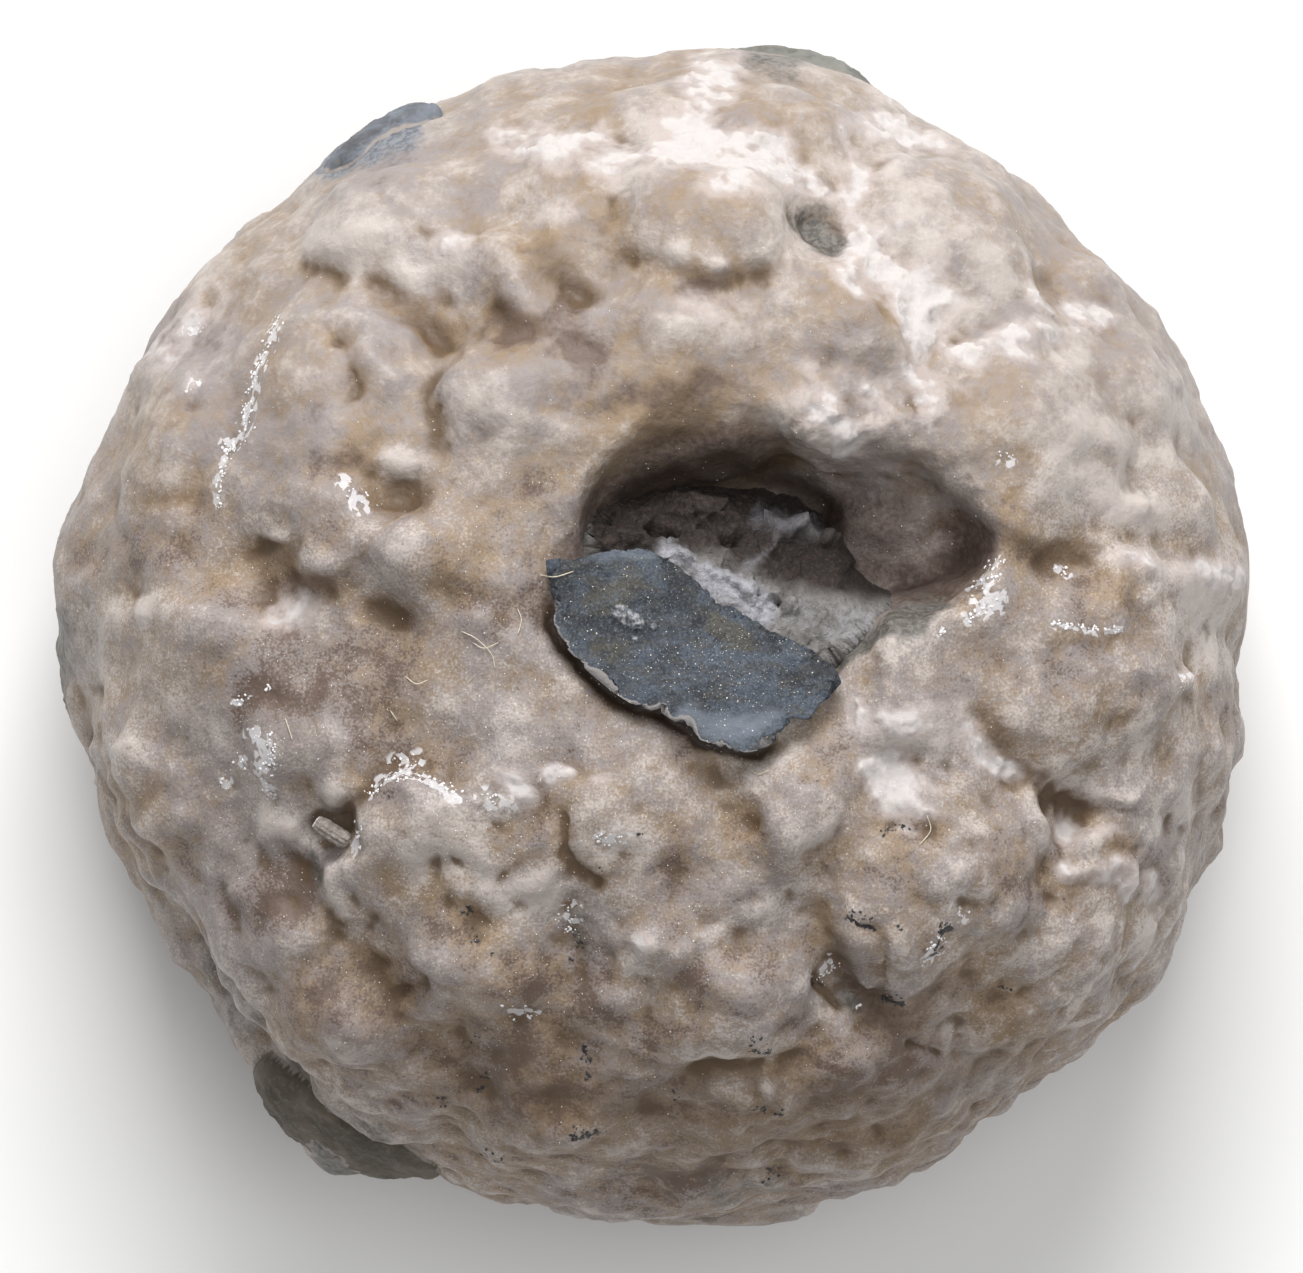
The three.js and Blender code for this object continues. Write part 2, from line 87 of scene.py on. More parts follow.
# Swellings, and hollows with a negative height: (x, y, half length, half width, turn, height).
MOUNDS = [
    (-9.3, 7, 1.3, 1.7, 0, 0.15), (-7.2, 7, 0.9, 0.9, -40, 0.15), (-7.5, 11, 1.6, 0.9, 8, 0.31),
    (-5.6, 10.3, 0.4, 0.35, 0, 0.19), (-4.3, 6.6, 1.2, 1.2, 0, 0.19), (-6.8, 4.6, 0.8, 0.35, -5, 0.25),
    (-6.9, 3.55, 1.06, 0.44, -6, -0.08), (-6.3, 2.5, 1.1, 0.6, 8, 0.28),
    (-7.2, 0.6, 0.92, 0.53, -10, -0.14), (-9, 2, 0.6, 0.4, 10, 0.22), (-10.75, 2.3, 0.37, 0.47, -30, -0.1),
    (-10.2, 2.65, 0.4, 0.2, 0, 0.22), (-9.2, 3.6, 1.2, 0.8, 0, 0.15), (-12.9, 3.1, 0.6, 0.4, 0, 0.19),
    (-13.2, 7.2, 1, 0.5, 50, 0.19), (-4.5, 0.5, 0.8, 0.5, 30, 0.19), (-8.9, 9.7, 0.79, 0.46, 0, -0.09),
    (-2.4, 5.5, 0.8, 0.5, 0, 0.19), (1.2, 11.2, 2.2, 0.9, 0, 0.25), (1.5, 9.75, 0.42, 0.36, 0, 0.35),
    (4, 11.2, 0.6, 0.5, 40, -0.2), (4.6, 10.6, 0.45, 0.65, 0, -0.2), (2.4, 13.8, 0.8, 0.55, 0, 0.38),
    (4.1, 13.6, 0.9, 0.6, 0, 0.38), (4.2, 12.6, 0.66, 0.46, 30, -0.09), (-1.2, 14, 0.66, 1.06, 0, -0.07),
    (6.2, 12.3, 0.6, 0.3, 30, 0.15), (7.4, 11, 1.6, 1.3, 0, 0.15), (0.6, 8.4, 1.4, 0.6, 0, 0.19),
    (3.2, 8.4, 0.9, 0.8, 0, 0.19), (12.6, 2.7, 0.79, 0.39, -10, -0.16), (12.9, 3.4, 0.6, 0.35, 0, 0.38),
    (11.8, 4.7, 0.66, 0.53, 0, -0.1), (11.5, 6.5, 0.79, 0.79, 30, -0.07),
    (10.5, 9.25, 0.66, 0.39, -20, -0.13), (9, 8.25, 0.79, 0.46, -20, -0.1), (9.5, 6.3, 1.3, 1.2, 0, 0.12),
    (12.1, -2.25, 0.99, 0.46, 0, -0.1), (14, -1.3, 0.35, 0.22, 0, 0.28),
    (11.2, -4.7, 0.92, 0.6, -20, -0.18), (12.25, -5.65, 0.46, 0.37, 0, -0.18),
    (11.5, -5.6, 0.55, 0.3, 0, 0.28), (13.5, -7, 0.39, 0.6, 0, -0.14), (12.4, -4.3, 0.6, 0.3, -20, 0.28),
    (2.5, -5.3, 0.79, 0.92, 20, -0.1), (3.7, -4.7, 1.2, 1.1, 0, 0.15), (5.9, -10.2, 1.06, 0.46, 20, -0.14),
    (1.8, -9.6, 1.8, 1.4, 0, 0.25), (5.2, -11.4, 0.9, 0.6, 0, 0.25), (2.9, -12.1, 0.3, 0.3, 0, 0.25),
    (5, -12.6, 0.6, 0.4, 0, 0.22), (-8.65, -4.4, 0.6, 0.4, 0, 0.35), (-8.95, -5.5, 0.53, 0.39, -20, -0.16),
    (-9.4, -6.4, 0.53, 0.79, 0, -0.14), (-10, -5.2, 0.7, 0.55, 0, 0.26), (-9.6, -7.8, 0.7, 0.8, 0, 0.25),
    (-9.5, -9.4, 0.7, 0.9, 30, 0.19), (-13.6, -3.1, 1, 0.6, -20, 0.31), (-13.5, -5.2, 0.9, 0.5, -30, 0.25),
    (-1.3, -4.7, 0.9, 1, 0, 0.25), (-3.3, -6.5, 0.7, 0.45, 20, 0.25), (-0.3, -8.3, 0.35, 0.4, 0, 0.19),
    (-1.8, -7.8, 0.79, 1.06, 0, -0.09), (-9.2, -2.9, 1.4, 0.7, 0, 0.15), (-5.3, -8.7, 1, 0.7, 0, 0.15),
    (-7.9, -10.4, 0.9, 0.8, 0, 0.25), (-4.2, -13.6, 0.9, 0.5, 0, 0.25), (-1.8, -13.9, 1.2, 0.4, 0, 0.25),
    (0.8, -14.2, 0.8, 0.4, 0, 0.19), (7.3, -6.6, 1.6, 1.5, 0, 0.15), (8.3, 2.5, 0.7, 0.7, 0, -0.25),
    (6.9, -3.9, 0.9, 0.7, 0, 0.12), (-12.3, 6.7, 0.5, 0.4, 0, 0.19), (13.3, 5.9, 0.7, 0.5, 0, 0.19),
]

# Steps: (height, x, y, x, y, ...). The ground to the left of the way from point to point stands higher.
STEPS = [
    # dark faces that look to the front
    (0.24, -9.6, 10.2, -8.6, 10, -7.6, 9.8, -6.9, 9.3, -6.1, 8.8, -5.6, 8.25, -5.3, 7.9),
    (0.25, -4.4, 9.1, -3.9, 8.7, -3.3, 8.25, -2.9, 8.1), (0.25, -3, 10.8, -2.75, 9.9, -2.1, 9.3, -1.5, 9),
    (0.23, -8.4, 5.1, -7.9, 4.6, -7.4, 4.25, -6.7, 4.1, -6, 4.1),
    (0.26, -9.9, 1.7, -9.3, 1.45, -8.8, 1.5, -8.3, 1.9),
    (0.28, -5.9, 1.9, -5.2, 1.45, -4.4, 1.15, -3.5, 0.95), (0.17, -13.6, 3.9, -13.2, 3.75, -12.6, 3.7),
    (0.32, -1.2, 10.3, -0.3, 10.1, 0.5, 10, 0.9, 9.7, 1.5, 9.45, 2, 9.7, 2.6, 9.95, 3.4, 9.9),
    (0.25, 8.9, 3.4, 9.5, 2.6, 10.4, 2.15, 11.3, 2.2, 12, 2.3),
    (0.2, 6.2, -2.9, 6.7, -3.15, 7.3, -3.25, 7.9, -3.05),
    (0.32, 8.6, -1.8, 9.1, -2.5, 9.6, -2.9, 10.1, -3.4, 10.6, -3.9, 11.1, -4.3, 11.8, -4.4),
    (0.25, 10.3, 0, 10.9, -0.05, 11.6, -0.15, 12.4, -0.05, 13, 0.1),
    (0.3, 5.7, -9.65, 6.3, -9.9, 7, -9.5, 7.8, -8.9, 8.4, -8.3),
    (0.26, -0.4, -11.1, 0.8, -11.3, 2, -11.35, 3, -11.1, 3.8, -10.7),
    (0.2, 4.2, -11.8, 5, -12.05, 5.9, -11.8), (0.2, -9.1, -4.2, -8.4, -4.35, -7.8, -4, -7.3, -3.55),
    (0.25, -8, -6.8, -7.4, -6.2, -6.4, -6.05, -5.4, -6, -4.6, -6.1, -3.9, -5.9),
    (0.2, -5.9, -7.1, -5.3, -7.1, -4.9, -6.85), (0.2, -10.9, -5.5, -10, -5.65, -9.4, -5.5),
    (0.2, -8.9, -11.2, -8, -11.3, -7.2, -10.9), (0.25, -14.5, -3.9, -13.7, -4.15, -12.9, -3.9),
    (0.2, 2.4, -12.55, 3, -12.75, 3.6, -12.9),
    # edges that stand up to the light behind them
    (0.3, -8.5, 0.6, -9.6, 0.9, -11, 0.7, -12.2, 0.9, -13.6, 0.85, -15, 0.8),
    (0.23, 3.4, 12.4, 2, 12.35, 0.2, 12.3, -1, 12.1),
    (0.35, -5, -4.5, -5.6, -4, -6.4, -3.8, -7, -3.75, -7.6, -4.15, -7.95, -4.75, -8, -5.6),
    (0.16, -6, 3.05, -6.8, 2.95, -7.4, 2.3, -7.9, 1.4),
    # edges that look to a side
    (0.23, -5, 7.9, -5.5, 7.1, -5.75, 6.2, -5.5, 5.4, -5.1, 4.8),
    (0.25, 3.6, 10.2, 3.5, 11, 3.55, 11.7, 3.4, 12.2), (0.17, -1.1, 12, -1.25, 11.2, -1.2, 10.4),
    (0.35, 6.9, 6.9, 6.5, 7.8, 5.7, 8.7, 5, 9.6), (0.28, 2, -4, 2.9, -5.4, 3.7, -6.3),
    (0.28, 3.7, -6.3, 4.6, -5.6, 5.2, -4.6), (0.35, 4.7, -6.8, 4.9, -7.8, 5.2, -8.8, 5.7, -9.6),
    (0.35, -8.9, -5.9, -8.85, -6.8, -8.6, -7.6, -8.1, -8.1),
    # the edge of the dome at the front left, above the plates below it
    (0.55, -15.1, -0.8, -15, -2.2, -14.7, -3.6, -14.2, -4.9, -13.3, -6.5, -12.3, -7.9, -11.2, -9.3, -10.2,
     -10.8, -9, -11.9, -7.7, -12.9, -6.1, -14),
]

# Ridges, and grooves with a negative height: (height, half width, x, y, x, y, ...).
RIDGES = [
    (0.18, 0.35, -9.2, 8.7, -8, 8.4, -7.2, 8, -6.3, 7.5), (-0.16, 0.3, -8.6, 8.1, -8.15, 7.2, -8.2, 6.2),
    (0.16, 0.3, -8, 7.9, -7.3, 7.1, -6.8, 6.6), (-0.08, 0.4, -5.3, 8, -5.85, 7.2, -6.05, 6.2, -5.8, 5.2),
    (0.12, 0.3, 8.2, 7.5, 9.4, 7.9, 10.8, 8.2, 12, 8.5), (0.15, 0.8, 5, 6.4, 4.7, 5.6, 4.5, 4.9),
    (0.25, 0.22, 9.9, -4, 10.35, -4.8, 10.45, -5.5, 10.8, -6.3),
    (0.22, 0.22, 10.9, -6.3, 11.6, -6.2, 12.4, -6.3, 12.8, -6.9),
    (-0.14, 0.1, 6, -5.25, 6.4, -5.15, 6.9, -5.2),
    (-0.08, 0.13, 5, -7.25, 5.4, -7.5, 5.9, -7.65, 6.1, -8.1, 6.6, -8.75, 7.1, -8.5, 7.7, -8.2, 7.95, -7.7),
    (-0.16, 0.14, 4.1, -9, 4.5, -9.4, 5, -9.9), (0.14, 0.3, 0.3, -8.8, 1.2, -8.1, 2.3, -7.4, 3.3, -6.9),
    (-0.2, 0.14, 6.7, -10.85, 7.2, -10.95, 7.6, -11.3),
    (0.28, 0.35, 3.3, -14.3, 4.5, -14.3, 6, -14, 7.5, -13.5, 8.6, -12.9),
    (-0.25, 0.25, 2.5, -13.85, 4, -13.95, 5.5, -13.75), (0.2, 0.24, -8.65, -6, -8.6, -6.9, -8.3, -7.8),
    (-0.25, 0.25, -2.5, -4.5, -2.5, -5.5, -2.1, -6.4, -1.3, -7),
    (-0.2, 0.25, -15, -1.2, -14.8, -2, -14.85, -2.9), (0.15, 0.25, -11.4, -7.4, -11, -8.6, -10.5, -9.5),
    (0.12, 0.3, 12, 2.15, 13.6, 1.8, 15.4, 1.5), (-0.2, 0.25, -7.4, -9.9, -6.7, -9.5, -6, -9.1),
]

# ---- Strokes: the calyx's colours, and its painted light and shade -------------------------------

# For each layer of colour, or of painted light and shade: (strength, half width, x, y, x, y, ...).
# One point alone is a round spot.
BRUSHES = {
    "vein": [
        (0.45, 0.6, -4.2, 13.5, -2.8, 13.1, -1.6, 12.9), (0.9, 0.7, -1.3, 12.9, 0.2, 13, 1.2, 13.1),
        (1, 0.8, 0, 12.9, 1.6, 12.7, 2.8, 12.6), (0.9, 0.6, 0.9, 13, 1.2, 14.2, 1.5, 15),
        (0.7, 0.3, 2.6, 13.2, 3.2, 13, 3.5, 12.3), (0.9, 0.5, 3.4, 12.6, 4.4, 12.1, 5.2, 12.2),
        (0.8, 0.55, 5.5, 13.6, 6.4, 13.5, 7, 13.1), (0.8, 0.3, 5.2, 13.2, 5.2, 12.2, 5.2, 11, 5.4, 10.2),
        (1.2, 0.65, 5.4, 10.4, 5.9, 9.7, 6.6, 9, 7.4, 8.2), (0.9, 0.5, 6.9, 9.3, 7.6, 8.6, 7.6, 7.9),
        (1.1, 0.6, 7, 8.2, 7.1, 7.3, 7.2, 6.4), (0.9, 0.4, 8, 7.5, 9, 7.6, 10.4, 8, 11.8, 8.4),
        (0.7, 0.35, 9.9, 9.1, 10.6, 8.7, 11.3, 8.5), (0.6, 0.6, 4.4, 6.6, 5.4, 6.1, 6.6, 6.3, 7.8, 6.2),
        (1.1, 0.55, 4.7, 6.2, 4.8, 5.7, 5, 5.3), (0.35, 0.5, 0.6, 8.6, 1.2, 8.5, 2, 8.7),
        (0.6, 0.6, 5.4, 10.9, 6.4, 10.7, 7.2, 10.4),
        (0.75, 0.45, 5.6, -2.2, 6.4, -2.5, 7.2, -2.4, 8, -2.3), (1, 0.5, 6.1, -3.5, 6.4, -4.2, 6.7, -4.6),
        (0.8, 0.35, 6.7, -3.7, 7.4, -4), (0.8, 0.3, 8.1, -2.2, 8.8, -3.1, 9.6, -3.6),
        (0.7, 0.3, 10.8, -5.2, 11.6, -5.5, 12, -5.4),
        (0.7, 0.25, 10.8, -6.3, 11.7, -6.2, 12.5, -6.4, 12.8, -7),
        (0.5, 0.35, 12, 2.2, 13.7, 1.8, 15.6, 1.5), (0.6, 0.4, 12.3, 3.6, 13.1, 3.3),
        (0.8, 0.22, -2.7, -3.6, -2.3, -3.6), (0.8, 0.25, -1.8, -3.75, -1.5, -3.7),
        (0.6, 0.4, -5.8, 10.1, -5.4, 10.3), (0.5, 0.35, -2.6, 11.3, -2.3, 11.3),
        (0.7, 0.25, -0.4, -8.1, -0.25, -8.5), (0.5, 0.4, -4, -3.6, -3.6, -4.2),
        (0.55, 0.3, -4.4, -6.6, -3.4, -6.5), (0.4, 0.8, -12.8, 7.4, -12, 8.6),
        (0.45, 0.5, -10.6, 0.6, -9.4, 0.8), (0.5, 0.3, 13.9, -1.2, 14.2, -1.3),
        (0.45, 0.3, 13.3, -6.6, 13.6, -7.3),
    ],
    "ochre": [
        (0.9, 0.7, -7.2, 9.4, -6.2, 8.7, -5.4, 8.2), (0.8, 0.7, -9.4, 10, -8.6, 9.9),
        (0.6, 0.9, -10.9, 9.3), (0.9, 0.6, -4.2, 8.7, -3.4, 8.2), (0.9, 0.6, -3, 10.4, -2, 9.3),
        (0.9, 0.55, -1.3, 11.4, -0.9, 10.5, 0.6, 10.1, 1.5, 9.7, 3, 10.1), (0.6, 0.7, 0.4, 11.6),
        (0.7, 0.7, 2.3, 11.2), (0.9, 0.6, 4.2, 11.2), (0.9, 0.5, 5, 9.6, 6.4, 7.6),
        (0.8, 0.7, 2.3, 14, 4.2, 13.8), (0.7, 0.6, -1.4, 13.9), (0.7, 0.5, -1.8, 12.4),
        (0.6, 0.8, -5.2, 12.7), (0.5, 0.7, -4, 14), (0.9, 1.3, -1, 5.2, 0.8, 6.4, 2.6, 6.1),
        (0.5, 1, 0.6, 7.6, 3.2, 8.3), (0.45, 1.2, -9.2, 7), (0.45, 0.8, -6.8, 6.9), (0.6, 1, -13.6, 6),
        (0.5, 0.9, -12.7, 9.3), (0.6, 0.7, -8, 5.2), (0.8, 0.5, -7.2, 3.9, -6.4, 3.8),
        (0.7, 0.6, -13.4, 3.8, -12.3, 3.6), (0.8, 0.5, -10.6, 2.3, -9.2, 1.5, -8.4, 1.4),
        (0.5, 0.7, -6, 2.3, -4.8, 1.8), (0.8, 0.6, -7.5, 0.6), (0.7, 0.6, -6.2, -0.3, -5.6, -0.6),
        (0.6, 0.5, -14.6, 0.6, -12.6, 0.5), (0.5, 0.8, -12, -0.9), (0.8, 0.5, -8.3, -4.1),
        (0.6, 0.7, -13.8, -4.6, -13.4, -5.8), (0.5, 0.5, -2.2, -3.7, -2.8, -4.6), (0.6, 0.5, 0.6, -4.9),
        (0.6, 0.5, 2, -4.9), (0.7, 0.6, -2, -5.8, -1.6, -6.8), (0.6, 0.6, -6.9, -6.5, -5.2, -6.5),
        (0.5, 0.6, -3, -6.2), (0.5, 1.3, -4.6, -8.9), (0.6, 1, -7.2, -9.6), (0.8, 0.9, -9.3, -10.4),
        (0.5, 1.2, 0.7, -9.8), (0.5, 0.6, 10, 9.2), (0.5, 1.2, 8.8, 6),
        (0.9, 0.5, 9.2, 3.7, 9.9, 2.5, 11.6, 2.4), (0.7, 0.5, 12.5, 3, 13.4, 2.6), (0.6, 0.7, 12, 1.3),
        (0.8, 0.25, 10.6, 0, 12.4, -0.1), (0.8, 0.7, 11.5, -2.2, 12.5, -2.1),
        (0.7, 0.5, 8.8, -2.3, 10.2, -3.8), (0.8, 0.5, 10.8, -4.7, 12.2, -5.6),
        (0.5, 0.7, 6.2, -5.6, 7.9, -4.9), (0.6, 1, 4.6, -7.4, 6, -8), (0.6, 1, 8.5, -8.8),
        (0.9, 0.7, 5.8, -10.1, 6.8, -10), (0.9, 0.9, 8.8, -10.3, 10, -10.9), (0.6, 0.6, 12.9, -7.4),
        (0.7, 0.6, 2.4, -11.3, 4.4, -11.6), (0.6, 1.6, -5, -12.2, 0, -13, 6, -13.2),
    ],
    "pebbly": [
        (0.8, 0.5, 5.2, -0.2, 6.8, 0.4), (0.8, 1, 8, -6, 9.4, -8), (0.6, 1.6, 12.4, -1.4, 12.6, 1),
        (1, 1.3, 2.5, -12.8, 6, -12.4, 9, -10.4, 11.8, -8.2), (0.8, 0.9, 11, -5.2, 13, -6.4),
        (0.8, 1.3, -6.5, -12.6, -2, -13.4), (0.7, 1, -2, -7, -2, -9.5), (0.5, 1, -4.6, -7.4),
        (1, 0.9, 3.9, 5.6, 5, 6, 6.8, 6.1), (0.6, 1.2, 5.8, 3.2, 7.4, 2.6), (0.9, 0.7, 4.3, 10.9),
        (0.6, 0.8, 8.6, 1.2), (0.4, 1.2, -4, 5.6),
    ],
    "lilac": [
        (0.6, 0.9, -12.6, 8.4, -12, 7.2), (0.6, 0.7, -11.2, 5.6), (0.6, 0.6, -8, 3.6), (0.6, 0.7, -3, 7),
        (0.6, 0.6, -6, 9.8), (0.8, 1.3, -10.6, -0.9, -10.2, -3.6), (0.7, 1.6, -4.6, -1.6, -4.2, -2.6),
        (0.7, 0.7, -7.2, -4, -5.2, -4.4), (0.8, 0.6, -9, -5.6, -9.2, -6.8),
        (0.9, 0.7, -1.8, -7.5, -1.8, -8.9), (0.8, 0.4, -1.9, -10.6, -1.9, -11.4), (0.8, 0.5, 6.4, -4.1),
        (0.6, 0.6, 9, 1), (0.9, 0.5, 5.4, -8.7, 5.6, -9.4), (0.6, 1, 3, -7.3),
        (0.6, 1.8, -11.4, -4, -10.8, -7.6), (0.6, 0.9, 12.9, -5), (0.6, 0.9, 6.9, 0.2, 6.6, -2.4),
        (0.6, 1.2, -9.4, -2.2), (0.5, 1, 2.6, -9.4), (0.5, 1.2, -7.4, 12.4), (0.5, 0.7, -13.9, -2.2),
        (0.5, 1.2, -2.6, -2.9),
    ],
    "rose": [
        (1, 4.5, 5.5, 12.5), (1, 3.6, -6.8, 11.8), (0.75, 4, 10.8, 7), (0.8, 3.4, -1, 13.6),
        (0.35, 3, 13.2, 1), (0.3, 3, -13, 6), (0.3, 2.2, -3.8, -2.4),
    ],
    # umber brown that is partly painted shade: on step faces that look away from the light, and on the front
    # flank
    "umber_and_shade": [
        (0.4, 1.6, -12.4, -1.8, -9.2, -2.4), (0.35, 1.5, -11.4, -5.6, -11, -7.6),
        (0.3, 1.6, -14, 2.4, -14, 4.4), (0.8, 0.5, -7.4, 9.3, -6.6, 8.8, -5.6, 8.1),
        (0.39, 0.4, -9.3, 9.9, -8.4, 9.6), (0.65, 0.4, -4.2, 8.8, -3.4, 8.2, -3, 8.1),
        (0.7, 0.5, -2.9, 10.2, -2.3, 9.4, -1.7, 9), (0.8, 0.35, -7.4, 3.6, -6.6, 3.7, -6.1, 3.9),
        (0.9, 0.3, -10.75, 2.4, -10.6, 2.2), (0.7, 0.35, -9.6, 1.5, -8.8, 1.4),
        (0.8, 0.45, -7.5, 0.7, -6.9, 0.5), (0.6, 0.35, -8.2, 4.8, -7.7, 4.4),
        (0.4, 0.5, -5.6, 1.6, -4.6, 1.2), (0.52, 0.35, -0.9, 10.2, 0.4, 9.9, 1.4, 9.3, 2.2, 9.7, 3.2, 9.9),
        (0.3, 0.6, 4.2, 11), (0.45, 0.55, 5.2, 9.3, 5.6, 8.4, 6.4, 7.4),
        (0.7, 0.35, 9.3, 2.8, 10, 2.3, 11, 2.2, 11.8, 2.4), (0.5, 0.4, 12.3, 2.8, 13, 2.5),
        (0.4, 0.5, 11.8, 4.7), (0.33, 0.4, 10.5, 9.2), (0.29, 0.4, 8.9, 8.2),
        (0.33, 0.4, 2.3, 13.6, 4.5, 13.6), (0.26, 0.5, -1.3, 13.9), (0.5, 0.2, 6.6, -3.1, 7.7, -3.2),
        (0.8, 0.4, 8.8, -2.2, 9.4, -2.9), (0.9, 0.35, 9.9, -3.6, 10.4, -3.8),
        (0.8, 0.4, 11, -4.6, 11.6, -4.6), (0.6, 0.4, 11.6, -2.3, 12.6, -2.3), (0.7, 0.25, 12.2, -5.7),
        (0.6, 0.3, -8.9, -4.5, -8.2, -4.5, -7.6, -4, -7.3, -3.6), (0.5, 0.4, -7.2, -6.3, -5.4, -6.2),
        (0.4, 0.4, -2.4, -5.2, -1.9, -6.5), (0.7, 0.6, 5, -8.2, 5.6, -9.6, 6.3, -10.3),
        (0.4, 0.5, 2.4, -5.3), (0.4, 0.5, -6.8, -9.6, -6, -9.2), (0.35, 0.5, 0.4, -5.3),
        (0.6, 2.4, -5, -11.8, 0, -12.6, 5, -12.9, 9, -11.2), (0.4, 1.4, -1.8, -8.6, -2, -10.4),
        (0.35, 1.2, 9.4, -8.4), (0.4, 1, -7.9, -8.2), (0.5, 0.8, 0.2, 6.4, 2.4, 6.2),
        (0.9, 0.9, 0.2, 4.9, 1, 5.2, 2.2, 5.2, 3.2, 4.9),
    ],
    # paler patches of the stone, partly painted light where the surface catches more light
    "paler_and_painted_light": [
        (1.1, 0.8, 9, 9.4, 8, 8.2), (0.9, 0.6, -0.9, 12.2, -0.7, 13.4), (0.9, 0.8, 6.8, 10.6),
        (0.8, 0.7, 3.6, 10.7, 2.8, 9.9), (0.7, 0.8, 4.6, -5, 4.2, -6.6), (1, 0.7, 8, -7.1),
        (1, 0.7, -0.2, -9.2), (1, 0.7, 1.6, -11.4), (0.5, 0.8, 2.6, -3.4, 3.2, -2.9), (0.9, 0.9, 14, -4.8),
        (0.9, 0.8, -6.8, 4.3), (0.8, 1, 11.4, 5.6), (0.8, 0.9, -9.1, 10.4, -8.2, 10.2),
        (1, 0.5, -6, 7, -6.1, 6, -5.6, 5.3), (0.8, 0.9, -5.4, 5.4, -4.6, 5.2), (0.9, 0.8, -12, 9.9),
        (0.9, 0.8, -1.2, 10.1, 0.2, 10), (0.4, 0.9, -2.6, 5.2, -1.8, 5.2), (0.9, 0.7, 2.2, 5.8, 3.4, 5.7),
        (1, 0.7, 4.6, 5.6, 5, 5.2), (0.8, 0.7, 3.7, 11.3), (0.8, 0.8, 0.4, 8.1, 1.8, 8),
        (1, 0.6, -9.2, -5, -8.4, -4.8), (1, 0.8, -2, -5.7, -0.8, -5.7),
        (1.3, 0.9, -6.2, -6.1, -4.6, -6.4, -2.8, -6.9), (1.1, 0.7, -8.7, -7.4, -8.4, -8),
        (0.9, 0.7, -10, -5.3), (0.7, 0.8, 7.4, -2.6, 9.2, -3.4), (1.3, 0.8, 10.2, -4.2, 11.2, -4.5),
        (0.9, 0.9, 12.2, -3, 13, -3.2), (0.9, 0.8, 4.2, -6.4, 3.6, -7), (0.7, 0.7, 7.6, -7.2, 8.6, -7),
        (1, 1, 12.4, -7, 13.2, -7.4), (0.9, 0.7, 4.4, -9.8, 5, -9), (1, 0.7, 8, -10.8),
        (0.9, 0.7, 1.8, -7.9, 2.6, -7.8), (1.4, 1.1, 11, 4.6, 12.4, 3.4, 13.4, 3),
        (1.4, 1, 14.6, 1.2, 14.8, 0.2), (0.9, 1.2, 13, 4.8), (0.9, 0.7, 10.2, 8.1, 11, 7.9),
        (0.7, 0.8, -10.4, 2.8), (0.8, 1.2, 13.8, 6), (0.6, 0.8, 9.4, -9.2), (0.7, 0.9, -4.2, 5.2),
        (0.6, 0.7, 4.4, -9.6), (0.9, 1.2, -14, 1, -15, -0.6), (0.9, 0.7, -7.4, 1.6), (0.9, 0.6, -8.8, 0.4),
        (0.8, 1, -12.8, -1.8, -12, -2.8), (0.7, 0.8, 7.4, -0.4), (1, 0.9, 6.4, -2.8, 7.4, -2.8),
        (1.1, 0.7, -6.4, 9.6, -5.2, 9.4),
        (1, 0.8, -10.4, -4.6, -9.6, -3.8), (0.9, 0.7, -4.6, -5.2, -4, -4.8),
        (0.9, 0.6, 2.5, -3.3, 3, -2.7), (0.8, 0.7, 0.2, -9.3), (0.8, 0.7, 1.7, -11.2),
        (0.8, 0.8, 9.6, -9.2), (0.8, 0.7, 8.2, -7.3), (0.9, 0.7, -3.2, 11.2), (0.9, 0.8, 4.6, -9.9),
        (1, 0.5, 4.2, 5.1, 4.3, 4.4), (0.7, 0.9, -9.6, -9.4), (0.7, 0.8, -14.2, 6), (0.6, 1, -1, -4.9),
    ],
    "shade": [
        (1, 0.8, -1.6, 7, -0.4, 6.4, 0.6, 6.5, 2, 6.8), (1, 0.9, -2.6, 10.2, -1.4, 10.5),
        (0.8, 0.8, 0.4, 11.4, 2.3, 11.4), (1, 0.7, 2.5, 13.6), (0.8, 0.8, -10.4, -3),
        (1, 0.6, -7, -3.7, -6.4, -3.8), (0.8, 0.8, 1.6, 14.9, 1, 15.2), (0.9, 0.7, -13, 2.2, -14.8, 1.8),
        (0.9, 0.8, -4.6, 0.6, -3.6, 0.9), (0.9, 0.8, -0.6, -14.4, 1.2, -15), (1, 0.7, 9.6, -7.1),
        (0.8, 0.6, -3.6, -4, -3.1, -5.4), (0.8, 0.6, -5.9, 8.7), (0.8, 0.8, 11.2, 9),
        (0.7, 0.7, 0.7, -5.4), (0.8, 0.7, 8.8, 1), (1.2, 1, -3.8, 8.3, -2.8, 8.1, -1.8, 7.4),
        (0.9, 0.7, -1.8, 12.6, -1.5, 14.2), (0.9, 0.9, -7.8, 12.3, -6.8, 12.2), (0.9, 0.7, -4.2, 13.2),
        (0.8, 0.7, 5, 8.8), (0.8, 0.6, -9.1, 6, -9, 4.6), (0.7, 0.7, -4.4, 1.5),
        (1.2, 1.3, -10.2, -1.6, -9.2, -1), (0.9, 0.8, -8, -0.4, -7, -0.8),
        (1.5, 0.9, -10.4, -6.9, -9.8, -7.1), (1.7, 1, -8.8, -9.8), (1.3, 0.8, -5.7, -8.2),
        (1.2, 0.9, -3.6, -9.2, -1.9, -9.5), (1, 1, 1.2, -9.1, 2.4, -9.3), (1, 0.7, 0.3, -11),
        (1.2, 0.9, 4.6, -11.4, 6.2, -11.2), (1.1, 1.1, -3.8, -11.4, -3, -12.2), (0.8, 0.8, 0.9, -14.8),
